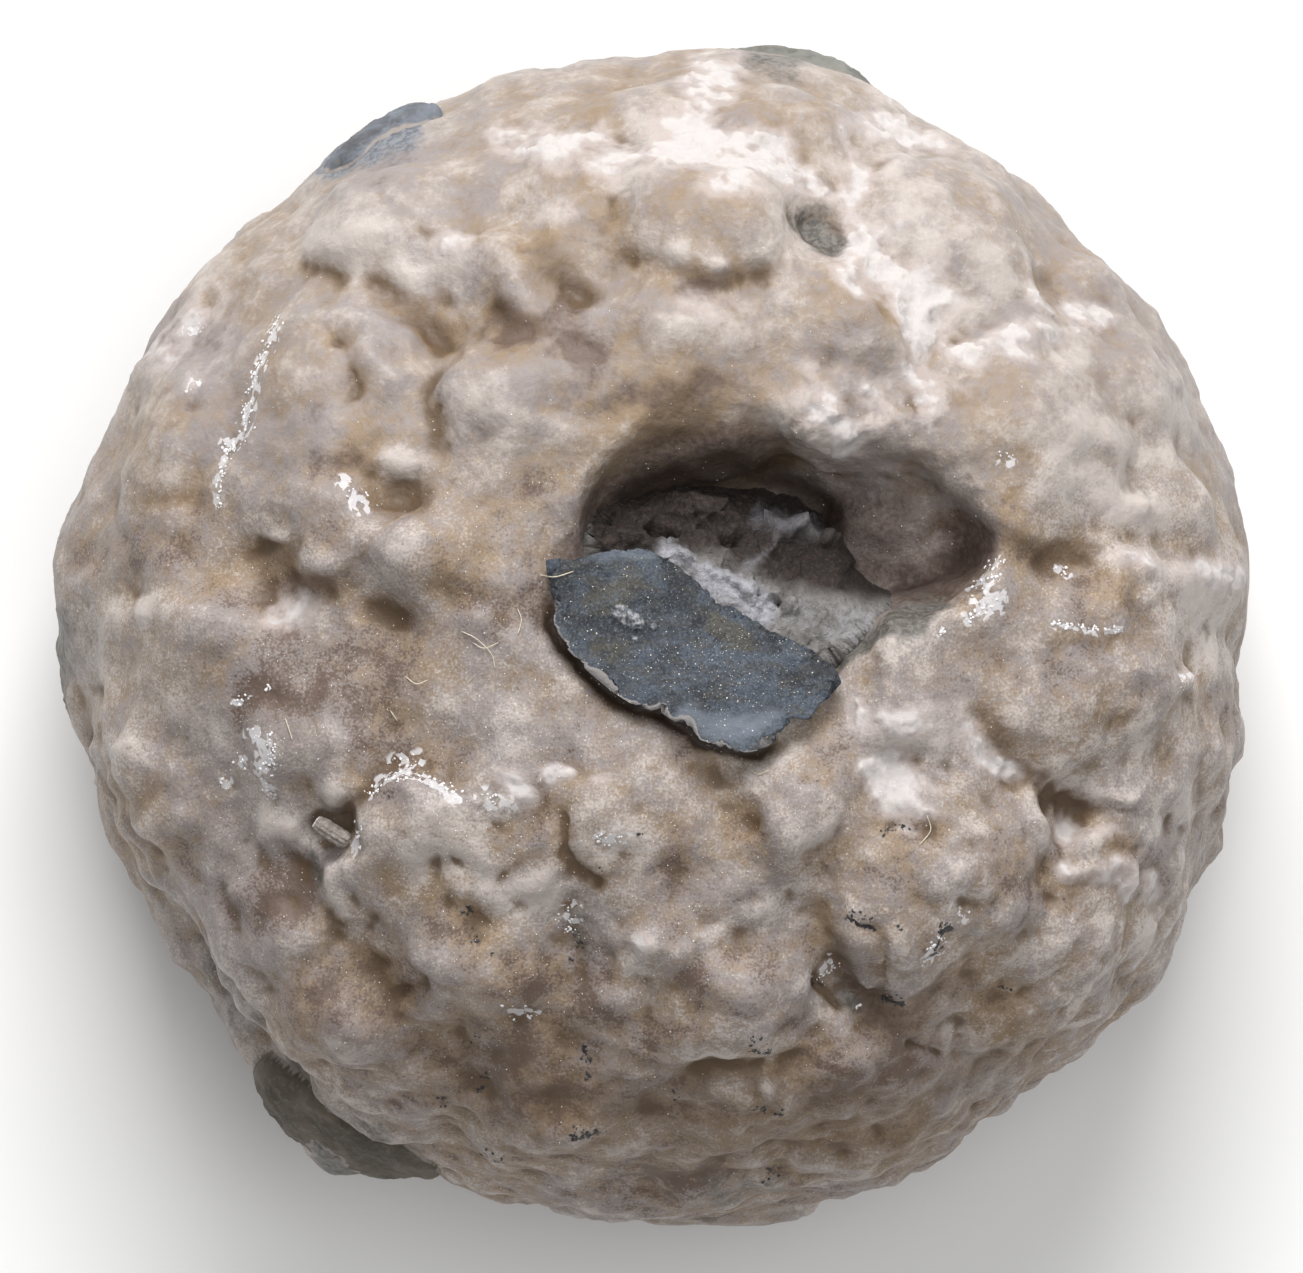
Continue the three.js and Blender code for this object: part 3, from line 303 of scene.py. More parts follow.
        (0.6, 0.8, 3.9, -4.3), (0.9, 0.6, 11.3, 1, 12.2, 1), (1.2, 0.6, 9.1, 8.2), (0.9, 0.8, 9.5, 6.6),
        (1, 0.6, 4.2, 6.6), (0.8, 0.7, -7.1, 8, -6.9, 7.4), (0.9, 0.7, -5.7, 2.2), (0.9, 0.8, -10.4, 0.3),
        (0.8, 0.8, -12.9, 8), (0.8, 0.7, -3, 4.1), (1, 0.7, 0.4, 9.2, 1.4, 9.1),
        (1, 0.8, 12, -5.7, 13.2, -6.2), (0.7, 0.7, 6.8, -6.1), (0.8, 0.6, 5.2, -7.8, 6, -9.4),
        (0.9, 0.8, 6.4, -10.6), (0.6, 0.8, -5, 11), (0.6, 0.9, 12.6, 7.4), (0.7, 0.6, 6.6, -5.8),
        (0.7, 0.7, 4.4, 13.8), (0.6, 0.8, -12, 5.8),
        (1.3, 0.8, 1.8, -8.9, 2.6, -9), (1, 0.7, -1.2, -9.8, -0.2, -10.4, 0.4, -11.4),
        (1.1, 0.8, 2.2, 13.3, 3, 13.2), (1, 0.6, 9, 8.1, 9.8, 8), (0.9, 0.7, 4.4, -3.8, 3.8, -4.8),
        (1, 0.6, 11.2, -5.4, 12, -5.6), (1, 0.8, -10.9, 0, -9.8, 0.5), (0.9, 0.8, -8.9, 4.1, -8.2, 4.6),
        (0.9, 0.7, -8.6, -9.8, -8.2, -9), (0.9, 0.6, 10.4, 4.6), (0.9, 0.5, 9.3, 3.4, 9.4, 2.4),
        (0.8, 0.8, -1.2, 6.2), (0.8, 0.6, 5.1, 9, 5.2, 8.4), (0.8, 0.6, -6.8, 5.6),
    ],
    # painted shade, mauve brown: in the stem pit's right lobe and in other hollows that lie in shade
    "dusk_shade": [
        (0.9, 1, 5, 3.2, 6.2, 3), (0.5, 1.2, 7, 2.6),
        (0.8, 0.6, -2.1, 2.2, -1.6, 3.2, -0.7, 4.1, 0.6, 4.9, 2.6, 5),
        (1.2, 0.7, 8.4, 2.5, 7.6, 1.6, 6.4, 1.2, 5.4, 1.5), (0.5, 0.7, 4.3, 11),
        (0.5, 1.4, 5.6, -9.6, 7, -10), (0.45, 1.2, -8.9, -9.6, -7.2, -11),
    ],
    # painted shadow in the stem pit: under its back wall and in the front of its right lobe
    "painted_shadow": [
        (1.2, 0.5, -0.6, 3.7, 0.2, 4.1, 1.4, 4.3, 2.8, 4.2, 3.8, 3.8, 4.6, 3.1),
        (0.6, 0.4, -1.5, 3, -0.8, 3.5), (0.8, 0.5, 8.1, 2, 7.4, 1.4, 6.6, 1.2),
    ],
    "slate": [
        (1.3, 0.8, -9.3, 12.5, -8.4, 12.9, -7.4, 13.4, -6.4, 13.5), (0.6, 0.5, -8.2, 12),
    ],
    "grey": [
        (0.95, 0.4, 4.9, -0.5, 5.8, 0, 6.7, 0.35, 7.5, 0.75), (0.6, 0.6, 3.6, 15.3, 2.6, 15.4),
        (0.6, 0.5, -15.7, 0.5, -15.6, -0.9), (0.75, 1.1, -10.4, -12.2, -9.2, -13.3, -7.6, -14),
        (0.4, 0.6, 1.5, -14.9, 3.6, -15.1), (0.45, 0.4, -2.2, -7.4, -1.8, -8.6),
        (0.5, 0.3, -9.3, -5.9, -9, -6.6), (0.35, 0.8, -12.2, -9, -11, -10.8),
        (0.5, 0.3, 5, -9.2, 5.3, -9.9), (0.45, 0.3, 13.5, -6.9), (0.65, 0.6, 4.1, 11.2, 4.5, 10.5),
        (0.4, 0.3, 7.4, 5.6),
    ],
    "crust": [
        (0.75, 0.14, -10.1, 8.4, -10.6, 7.4, -10.9, 6.4), (1, 0.2, -10.95, 6.2, -11, 5.4),
        (0.8, 0.2, -11.5, 5, -11.1, 5.1), (0.7, 0.12, -11.3, 5, -11.6, 4.4, -11.7, 3.4),
        (0.9, 0.22, -10.7, -2.6, -10.3, -2.7, -10.2, -3.3, -10.5, -3.7), (0.9, 0.2, -10.3, -4.2),
        (0.7, 0.18, -11.2, -3.3, -10.9, -3.5), (0.6, 0.16, -11.6, -3.9),
        (0.6, 0.14, -11.2, -1.8, -10.8, -1.6), (0.7, 0.12, -10.4, -1.4), (0.8, 0.3, -7.9, 3.6),
        (0.5, 0.2, -8.4, 4.1, -8.1, 3.8), (0.7, 0.25, 8.5, 1.3, 8.9, 1.5, 9.2, 2),
        (0.9, 0.25, 8.6, 0.8, 9, 0.9), (0.7, 0.16, 8.3, 0.4, 8.6, 0.6),
        (0.8, 0.1, 10.6, 0.3, 11.4, 0.2, 12.4, 0.15), (0.7, 0.14, 10.7, 1.8, 10.9, 1.6),
        (0.6, 0.12, 7.6, 0.1), (0.9, 0.14, -7.7, -4.3, -7.2, -3.9, -6.5, -3.75, -5.8, -3.95, -5.3, -4.3),
        (0.7, 0.3, -4.6, -4.3, -4.1, -4.4), (0.7, 0.14, -1.6, -5.4, -0.8, -5.5),
        (0.5, 0.3, -7, -3.4, -6.4, -3.3), (0.7, 0.12, -8, -5, -7.9, -5.8), (0.6, 0.2, -12.3, 8.2),
        (0.6, 0.2, -12.4, 6.7), (0.6, 0.16, 9.2, 4.7, 9.5, 4.8),
        (0.4, 0.2, -3.9, -10, -3.5, -10.15, -3.2, -10.2), (0.5, 0.25, -2.4, -7.2, -2.2, -7.9),
        (0.6, 0.18, 8, -7.3, 8.2, -7.5), (0.7, 0.18, 7.6, -8.1, 7.2, -8.5), (0.5, 0.2, 14, -1.2),
        (0.6, 0.12, 4.3, -9.2, 4.8, -8.8), (0.5, 0.14, 5.4, -9.9),
    ],
    "soot": [
        (0.8, 0.13, -5.05, -7.4, -4.9, -7.5), (0.8, 0.14, -4.9, -8, -4.75, -8.3), (0.7, 0.1, -4.4, -8.5),
        (0.6, 0.12, -2.2, -7.9, -2, -8.4), (0.6, 0.14, -2.3, -8.7), (0.7, 0.14, -2, -11.1, -1.8, -11.8),
        (0.6, 0.14, -4.8, -10.7), (0.7, 0.12, -4.6, -11.8), (0.7, 0.12, -4.7, -12.2),
        (0.6, 0.18, -5.8, -12.5), (0.7, 0.14, -2.2, -13.2, -1.5, -13.3),
        (0.9, 0.12, 2.5, -10.8, 2.9, -10.85), (1, 0.16, 6.1, -9.6, 6.45, -9.7),
        (0.9, 0.1, 5.1, -7.35, 5.5, -7.55, 5.8, -7.6), (0.9, 0.12, 7.7, -7.7, 7.9, -7.8),
        (0.7, 0.1, 7.2, -8.4, 7.7, -8.2), (0.7, 0.1, 4.2, -9.2, 4.5, -9.4), (0.6, 0.1, 6, -5.3, 6.6, -5.1),
        (0.5, 0.12, -0.4, -5.3), (0.6, 0.1, -1.5, -6.3), (0.5, 0.15, 2.4, -12.6, 3.3, -12.8),
        (0.5, 0.15, 0.4, -12.2, 0.5, -12.6), (0.6, 0.2, 2.8, -14.5, 3.4, -14.6),
        (0.5, 0.2, -4.7, -13.8, -4, -14), (0.6, 0.1, 9.3, -9.4, 9.5, -9.5), (0.5, 0.1, 6.5, -7.8),
        (0.5, 0.1, -7.2, -4.3),
    ],
}

# ---- Noise ---------------------------------------------------------------------------------------

GRADIENTS = np.random.default_rng(11).normal(size=(128, 3))
GRADIENTS /= np.linalg.norm(GRADIENTS, axis=1)[:, None]


def hashed(cells, seed):
    """A fixed whole number from 0 to 2^31 for each whole-number cell."""
    n = cells.astype(np.int64)
    h = (n[..., 0] * 73856093) ^ (n[..., 1] * 19349663) ^ (n[..., 2] * 83492791) ^ (seed * 2654435761 + 97)
    h = ((h ^ (h >> 13)) * 1274126177) & 0xFFFFFFFFFF
    return ((h ^ (h >> 17)) >> 3) & 0x7FFFFFFF


def noise(points, size, seed=0):
    """Gradient noise of about -1 to 1, with features of a size."""
    p = points / size + 31.7
    base = np.floor(p)
    f = p - base
    fade = f * f * f * (f * (f * 6 - 15) + 10)
    total = np.zeros(len(points))
    for corner in itertools.product((0, 1), repeat=3):
        corner = np.array(corner)
        weight = np.prod(np.where(corner, fade, 1 - fade), axis=1)
        gradient = GRADIENTS[hashed(base + corner, seed) % len(GRADIENTS)]
        total += weight * ((f - corner) * gradient).sum(1)
    return 1.6 * total


def fractal(points, size, octaves=3, seed=0, gain=0.5):
    """Noise with ever finer noise added to it."""
    return sum(gain ** i * noise(points, size * 0.5 ** i, seed + i) for i in range(octaves))


def cells(points, size, seed=0):
    """Distances to the nearest and the next of scattered points, in cells, and a value for the nearest."""
    p = points / size + 57.3
    base = np.floor(p)
    first = np.full(len(points), 9.0)
    second = first.copy()
    value = first.copy()
    for shift in itertools.product((-1, 0, 1), repeat=3):
        cell = base + np.array(shift)
        spot = np.stack([hashed(cell, seed + k) % 1000 / 1000 for k in range(3)], 1)
        distance = np.linalg.norm(cell + spot - p, axis=1)
        nearer = distance < first
        second = np.where(nearer, first, np.minimum(second, distance))
        value = np.where(nearer, spot[:, 0], value)
        first = np.where(nearer, distance, first)
    return first, second, value


def cobbles(points, size, seed=0):
    """Round-topped lumps of different heights with soft creases between them, from 0 to 1."""
    warp = np.stack([fractal(points, 0.8 * size, 2, seed + 10 * k) for k in (1, 2, 3)], 1)
    warped = points + 0.25 * size * warp
    first, second, value = cells(warped, size, seed)
    return smoothstep(second - first, 0, 0.6) * (0.5 + 0.5 * value)


def smoothstep(value, low, high):
    """0 below low, 1 above high, and a smooth rise between them."""
    t = np.clip((value - low) / (high - low), 0, 1)
    return t * t * (3 - 2 * t)


# ---- Strokes on a surface ------------------------------------------------------------------------


def smooth_line(places, spacing=0.25):
    """A smooth line through the places x, y, x, y, ..., as the ends of short straight stretches."""
    p = np.array(places, float).reshape(-1, 2)
    if len(p) == 1:
        return p
    ends = np.vstack([2 * p[0] - p[1], p, 2 * p[-1] - p[-2]])
    line = []
    for a, b, c, d in zip(ends, ends[1:], ends[2:], ends[3:]):
        count = max(1, round(np.linalg.norm(c - b) / spacing))
        for t in np.arange(count) / count:
            line.append(0.5 * (2 * b + (c - a) * t + (2 * a - 5 * b + 4 * c - d) * t * t
                               + (3 * b - a - 3 * c + d) * t ** 3))
    return np.array(line + [p[-1]])


STEP_WIDTH = 0.42  # how far beside its line a step is steep
STEP_REACH = 6  # how many of those widths a step reaches


def line_ends(share, fade):
    """A line's strength along it, which fades out towards both ends."""
    return smoothstep(share, -0.05, fade) * smoothstep(1 - share, -0.05, fade)


class Ground:
    """A surface seen from above that strokes change or paint."""

    def __init__(self, plan, open_to_strokes):
        self.plan = plan
        self.open = open_to_strokes
        self.relief = np.zeros(len(plan))
        self.paint = {}

    def near(self, places, reach):
        """The points within reach of a line: which, how far, how far to its left, and how far along."""
        line = smooth_line(places)
        inside = ((self.plan > line.min(0) - reach) & (self.plan < line.max(0) + reach)).all(1)
        which = np.flatnonzero(inside & self.open)
        p = self.plan[which]
        distance = np.full(len(which), 1e9)
        left = np.zeros(len(which))
        share = np.zeros(len(which))
        for i, (a, b) in enumerate(zip(line, line[1:])):
            length = np.linalg.norm(b - a)
            way = (b - a) / length
            t = np.clip((p - a) @ way, 0, length)
            away = p - a - t[:, None] * way
            d = np.linalg.norm(away, axis=1)
            nearer = d < distance
            distance = np.where(nearer, d, distance)
            left = np.where(nearer, (p - a) @ np.array([-way[1], way[0]]), left)
            share = np.where(nearer, (i + t / length) / (len(line) - 1), share)
        return which, distance, left, share

    def mound(self, x, y, half_length, half_width, turn, height):
        """Raises an oval swelling, turned by some degrees."""
        angle = math.radians(turn)
        way = np.array([math.cos(angle), math.sin(angle)])
        away = self.plan - (x, y)
        share = np.hypot(away @ way / half_length, away @ np.array([-way[1], way[0]]) / half_width)
        inside = self.open & (share < 2)
        self.relief[inside] += height * np.exp(-1.2 * share[inside] ** 2)

    def step(self, height, *places):
        """Raises the ground to the left of a line and lowers it to the right, which levels out again."""
        which, distance, left, share = self.near(places, STEP_REACH * STEP_WIDTH)
        away = distance / STEP_WIDTH
        taper = line_ends(share, 0.18) * smoothstep(STEP_REACH - away, 0, 2)
        across = np.minimum(away, 1)
        beyond = np.maximum(away - 1, 0) / np.where(left > 0, 3.2, 1.6)
        profile = across * np.exp(0.5 - 0.5 * across ** 2) / (1 + beyond ** 2)
        self.relief[which] += 0.55 * height * taper * np.sign(left) * profile

    def ridge(self, height, half_width, *places):
        """Raises a ridge along a line."""
        which, distance, _, share = self.near(places, 3 * half_width)
        self.relief[which] += height * line_ends(share, 0.15) * np.exp(-(distance / half_width) ** 2)

    def brush(self, name, strength, half_width, *places):
        """Paints a soft line, or a spot if there is one place."""
        layer = self.paint.setdefault(name, np.zeros(len(self.plan)))
        if len(places) == 2:
            which = np.flatnonzero(self.open)
            distance = np.linalg.norm(self.plan[which] - places, axis=1)
        else:
            which, distance, _, _ = self.near(places, 2.5 * half_width)
        layer[which] = np.maximum(layer[which], strength * np.exp(-(distance / half_width) ** 2))

    def paint_all(self, brushes):
        """Paints the strokes of each layer in a list like BRUSHES."""
        for name, strokes in brushes.items():
            for stroke in strokes:
                self.brush(name, *stroke)


# ---- Meshes --------------------------------------------------------------------------------------


def new_object(name, mesh):
    made = bpy.data.objects.new(name, mesh)
    bpy.context.scene.collection.objects.link(made)
    return made


def welded_copy(node):
    """A CAD node's mesh as a new mesh with its shared corners merged."""
    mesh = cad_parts[node].data.copy()
    mesh.materials.clear()
    work = bmesh.new()
    work.from_mesh(mesh)
    bmesh.ops.remove_doubles(work, verts=work.verts, dist=1e-7)
    work.to_mesh(mesh)
    work.free()
    return mesh


def surface_tree(mesh):
    """A mesh as a tree for finding places on it, in millimetres."""
    corners = [v.co / MM for v in mesh.vertices]
    return BVHTree.FromPolygons(corners, [face.vertices[:] for face in mesh.polygons])


def with_modifiers(made, *modifiers):
    """Applies modifiers, each as (type, settings), to an object's mesh."""
    for kind, settings in modifiers:
        modifier = made.modifiers.new(kind, kind)
        for key, value in settings.items():
            setattr(modifier, key, value)
    evaluated = made.evaluated_get(bpy.context.evaluated_depsgraph_get())
    mesh = bpy.data.meshes.new_from_object(evaluated)
    made.modifiers.clear()
    made.data = mesh
    return made


def positions_mm(mesh):
    co = np.empty(len(mesh.vertices) * 3)
    mesh.vertices.foreach_get("co", co)
    return co.reshape(-1, 3) / MM


def normals_of(mesh):
    n = np.empty(len(mesh.vertices) * 3)
    mesh.vertices.foreach_get("normal", n)
    return n.reshape(-1, 3)


DUST_ROOM = 0.04  # left free below the CAD model's top, for dust on the flake's raised edge


def settled(points, give=0.25):
    """Points pressed softly back inside the CAD model's box, and flat onto what the fossil rests on."""
    low, high = (np.array(corner) / MM for corner in cad_box)
    low[2] -= give
    high[2] -= DUST_ROOM
    over = np.maximum(points - (high - give), 0)
    under = np.maximum(low + give - points, 0)
    pressed = points - over + give * (1 - np.exp(-over / give)) + under - give * (1 - np.exp(-under / give))
    pressed[:, 2] = np.maximum(pressed[:, 2], 0)
    return pressed


def set_positions(mesh, points_mm):
    mesh.vertices.foreach_set("co", (points_mm * MM).astype(np.float32).ravel())
    mesh.update()


def set_attribute(mesh, name, values):
    layer = mesh.attributes.new(name, "FLOAT", "POINT")
    layer.data.foreach_set("value", values.astype(np.float32))


def blurred(mesh, values, rounds):
    """Values on a mesh's vertices, spread to their neighbours a number of times."""
    if values.ndim == 1:
        return blurred(mesh, values[:, None], rounds)[:, 0]
    edges = np.empty(len(mesh.edges) * 2, np.int64)
    mesh.edges.foreach_get("vertices", edges)
    a, b = edges.reshape(-1, 2).T
    count = np.bincount(a, minlength=len(values)) + np.bincount(b, minlength=len(values))
    for _ in range(rounds):
        spread = np.stack([
            np.bincount(a, column[b], len(values)) + np.bincount(b, column[a], len(values))
            for column in values.T], 1)
        values = 0.5 * values + 0.5 * spread / count[:, None]
    return values


def hollowness(mesh, rounds):
    """How far the smoothed surface lies above each vertex: positive in hollows, in millimetres."""
    points = positions_mm(mesh)
    return ((blurred(mesh, points, rounds) - points) * normals_of(mesh)).sum(1)


# ---- Materials -----------------------------------------------------------------------------------


class Shader:
    """A node material built from short calls. Sizes are millimetres on the object."""

    def __init__(self, name):
        self.material = bpy.data.materials.new(name)
        self.material.use_nodes = True
        self.tree = self.material.node_tree
        self.surface = self.tree.nodes["Principled BSDF"]
        self.place = self.add("ShaderNodeTexCoord").outputs["Object"]

    def add(self, kind, inputs=None, **settings):
        node = self.tree.nodes.new(kind)
        for key, value in settings.items():
            setattr(node, key, value)
        for key, value in (inputs or {}).items():
            self.plug(node.inputs[key], value)
        return node

    def plug(self, socket, value):
        if isinstance(value, bpy.types.NodeSocket):
            self.tree.links.new(value, socket)
        else:
            socket.default_value = value

    def noise(self, size, detail=3, roughness=0.5, distortion=0.0, stretch=(1, 1, 1)):
        scaled = self.add("ShaderNodeMapping", {"Vector": self.place, "Scale": stretch}).outputs[0]
        return self.add("ShaderNodeTexNoise", {
            "Vector": scaled, "Scale": 1 / (size * MM), "Detail": detail, "Roughness": roughness,
            "Distortion": distortion}).outputs["Fac"]

    def cells(self, size):
        """Angular cells, each with a value of its own."""
        scaled = {"Vector": self.place, "Scale": 1 / (size * MM)}
        return self.add("ShaderNodeTexVoronoi", scaled).outputs["Color"]

    def attribute(self, name):
        return self.add("ShaderNodeAttribute", attribute_name=name).outputs["Fac"]

    def layer(self, name, edge, raggedness):
        """A painted layer whose edge a noise makes ragged."""
        return self.math("ADD", self.attribute(name), self.times(self.centred(edge), raggedness))

    def ramp(self, value, low, high, to_low=0.0, to_high=1.0):
        return self.add("ShaderNodeMapRange", {
            "Value": value, "From Min": low, "From Max": high, "To Min": to_low, "To Max": to_high},
            interpolation_type="SMOOTHSTEP").outputs["Result"]

    def centred(self, value):
        return self.math("SUBTRACT", value, 0.5)

    def total(self, *terms):
        """The sum of terms, each as (weight, value)."""
        weighted = [self.times(value, weight) for weight, value in terms]
        return functools.reduce(lambda a, b: self.math("ADD", a, b), weighted)

    def math(self, operation, a, b=0.0):
        return self.add("ShaderNodeMath", {0: a, 1: b}, operation=operation).outputs[0]

    def times(self, a, b):
        return self.math("MULTIPLY", a, b)

    def mix(self, factor, a, b):
        node = self.add("ShaderNodeMix", {"Factor": factor}, data_type="RGBA")
        for socket, value in zip([s for s in node.inputs if s.type == "RGBA"], (a, b)):
            self.plug(socket, value)
        return next(s for s in node.outputs if s.type == "RGBA")

    def coat(self, colour, cover, low, high, most, over):
        """A colour with another over it, from not at all where cover is low to the most where it is high."""
        return self.mix(self.ramp(cover, low, high, 0.0, most), colour, over)

    def blend(self, value, low, high, dark, light):
        """A colour between two, by a value."""
        return self.mix(self.ramp(value, low, high), dark, light)

    def bump(self, height, distance, strength=1.0, under=None):
        inputs = {"Height": height, "Distance": distance * MM, "Strength": strength}
        if under is not None:
            inputs["Normal"] = under
        return self.add("ShaderNodeBump", inputs).outputs["Normal"]

    def finish(self, colour, roughness, normal, **constants):
        self.plug(self.surface.inputs["Base Color"], colour)
        self.plug(self.surface.inputs["Roughness"], roughness)
        self.plug(self.surface.inputs["Normal"], normal)
        for key, value in constants.items():
            self.surface.inputs[key.replace("_", " ")].default_value = value
        return self.material


def rgb(red, green, blue):
    """A colour given as it looks on a screen, from 0 to 255, in linear light."""
    return tuple(((c / 255 + 0.055) / 1.055) ** 2.4 for c in (red, green, blue)) + (1.0,)


def calcite_material():
    s = Shader("calcite")
    broad = s.noise(3.2, 4, 0.55)
    middle = s.noise(1.1, 4, 0.6)
    mottle = s.noise(0.5, 4, 0.6)
    fine = s.noise(0.16, 3, 0.6)
    tint = s.noise(0.35, 3, 0.6)
    # painted shade: darker and warmer colour in the valleys of the relief
    valley_shade = s.attribute("valley_shade")
    warmth = s.total(
        (1.6, s.centred(broad)), (1.2, s.centred(middle)), (1.2, s.centred(mottle)),
        (1.4, s.centred(tint)), (0.6, s.attribute("ochre")), (-0.6, s.attribute("lilac")),
        (-0.1, s.attribute("rose")), (0.35, valley_shade))
    colour = s.blend(warmth, -0.5, 0.7, rgb(144, 135, 132), rgb(143, 123, 100))
    sandy = s.times(s.centred(s.noise(0.07, 3, 0.5)), s.attribute("granular"))
    streaks = s.noise(1.0, 5, 0.65, 0.4, (0.8, 1.0, 1.8))
    streaky = s.times(s.centred(streaks), s.attribute("weathered"))
    blotchy = s.times(s.centred(s.noise(1.5, 4, 0.65)), s.attribute("granular"))
    # paleness also takes in painted light and painted shade: from painted layers, and darker in valleys and
    # hollows
    paleness = s.total(
        (1.8, s.centred(middle)), (1.3, s.centred(mottle)), (0.7, s.centred(fine)),
        (0.5, s.attribute("rose")), (2.6, sandy), (5.0, streaky), (2.6, blotchy),
        (0.8, s.attribute("paler_and_painted_light")), (-0.8, s.attribute("shade")), (-0.6, valley_shade),
        (-0.35, s.attribute("hollow_shade")))
    colour = s.coat(colour, paleness, -0.1, 1.3, 1.0, rgb(184, 175, 169))
    colour = s.coat(colour, paleness, -0.15, -1.1, 0.95, rgb(101, 84, 74))
    frost = s.times(s.ramp(s.noise(0.22, 4, 0.75), 0.53, 0.6), s.ramp(paleness, -0.3, 0.6))
    colour = s.mix(s.times(frost, 0.2), colour, rgb(206, 199, 196))
    # painted shade, darker brown in deep hollows
    colour = s.coat(colour, s.layer("deep_shade", mottle, 0.6), 0.2, 1.1, 0.9, rgb(98, 79, 60))
    # umber brown, partly painted shade on shaded step faces and on the front flank
    colour = s.coat(colour, s.layer("umber_and_shade", mottle, 0.8), 0.2, 1.0, 0.85, rgb(95, 77, 60))
    # painted shade, mauve brown, in the pit's right lobe and shaded hollows
    dusky_shade = s.blend(fine, 0.35, 0.65, rgb(84, 71, 65), rgb(116, 101, 95))
    colour = s.coat(colour, s.layer("dusk_shade", mottle, 0.5), 0.1, 0.9, 0.8, dusky_shade)
    # painted shadow, a nearly black brown
    colour = s.coat(colour, s.layer("painted_shadow", mottle, 0.5), 0.1, 1.0, 0.85, rgb(50, 38, 31))
    chalky = s.layer("vein", mottle, 0.7)
    colour = s.coat(colour, chalky, 0.05, 0.6, 0.7, rgb(184, 173, 169))
    chalk = s.ramp(chalky, 0.55, 0.95)
    colour = s.mix(s.times(chalk, 0.85), colour, rgb(198, 193, 191))
    greyish = s.blend(fine, 0.4, 0.6, rgb(84, 81, 76), rgb(116, 113, 108))
    colour = s.coat(colour, s.layer("grey", mottle, 1.1), 0.2, 0.7, 0.95, greyish)
    bluish = s.blend(fine, 0.4, 0.6, rgb(88, 93, 100), rgb(124, 130, 138))
    colour = s.coat(colour, s.layer("slate", mottle, 1.3), 0.2, 0.9, 0.9, bluish)
    crusted = s.ramp(s.layer("crust", s.cells(0.2), 1.4), 0.5, 0.58)
    crusted = s.times(crusted, s.ramp(s.attribute("crust"), 0.12, 0.25))
    colour = s.mix(s.times(crusted, 0.7), colour, rgb(216, 214, 216))
    soot = s.ramp(s.layer("soot", fine, 1.8), 0.45, 0.7)
    colour = s.mix(soot, colour, rgb(46, 43, 44))
    roughness = s.total((0.5, s.ramp(middle, 0.3, 0.7, 0.9, 1.2)), (-0.2, crusted), (0.3, chalk))
    normal = s.bump(mottle, 0.05, 1.0, s.bump(fine, 0.025))
    return s.finish(
        colour, roughness, normal, Subsurface_Weight=0.25, Subsurface_Scale=0.0005,
        Subsurface_Radius=(1.0, 0.6, 0.4), Specular_IOR_Level=0.35)


# ---- The flake's place ---------------------------------------------------------------------------


def flake_plane():
    """The plane through the middle of the flake's thickness, as (slope x, slope y, level)."""
    corners = positions_mm(welded_copy("shale_flake"))
    return np.linalg.lstsq(np.c_[corners[:, :2], np.ones(len(corners))], corners[:, 2], rcond=None)[0]


def over_flake(points):
    """How far points are above the middle of the flake's thickness."""
    return points[:, 2] - np.c_[points[:, :2], np.ones(len(points))] @ flake_plane()


def flake_outline():
    corners = positions_mm(welded_copy("shale_flake"))
    top = corners[over_flake(corners) > 0][:, :2]
    away = top - top.mean(0)
    return top[np.argsort(np.arctan2(away[:, 1], away[:, 0]))]


def distance_to_outline(plan, corners):
    distance = np.full(len(plan), 1e9)
    for a, b in zip(corners, np.roll(corners, -1, axis=0)):
        along = b - a
        t = np.clip(((plan - a) @ along) / (along @ along), 0, 1)
        distance = np.minimum(distance, np.linalg.norm(plan - a - t[:, None] * along, axis=1))
    return distance


def at_flake_front(plan):
    """How far each place is to the front left of the flake's middle, from 0 to 1."""
    return smoothstep(-(plan - FLAKE_MIDDLE) @ FLAKE_ACROSS, 0.3, 1.6)


# ---- The calyx -----------------------------------------------------------------------------------

# the most that one piece may have, with a little to spare
PIECE_TRIANGLES = 196000  # how many triangles the calyx's mesh is decimated to
PIT_ROUNDS = 22  # rounds of smoothing for the stem pit's wall
HOLLOW_ROUNDS = 38  # more rounds, to find out which places lie in hollows
STAIN_MIDDLE = np.array([-7.4, 13.0, 9.4])  # just above the back left skin
CREVICE_DEPTH = 0.3  # under the flake's front left edge
CREVICE_WIDTH = 0.3

# Bulges of the side, under the skins and beside them: (degrees round, half width, level, height).
BULGES = [
    (121, 7.5, 8.5, 0.4), (77, 6, 7.5, 0.12), (188, 14, 7.5, 0.4), (226, 8, 7.0, 0.4), (238.5, 6, 7.0, 0.8),
    (5, 4, 7.4, 0.28), (312, 9, 7.5, -0.3), (160, 4, 7.5, -0.2),
]


def bulge(points):
    """How much the side bulges at each point."""
    around = np.degrees(np.arctan2(points[:, 1] - PLAN_ORIGIN[1], points[:, 0] - PLAN_ORIGIN[0]))
    total = np.zeros(len(points))
    for degrees, half_width, level, height in BULGES:
        turn = (around - degrees + 180) % 360 - 180
        total += height * np.exp(-np.abs(turn / half_width) ** 3 - ((points[:, 2] - level) / 3.0) ** 2)
    return total


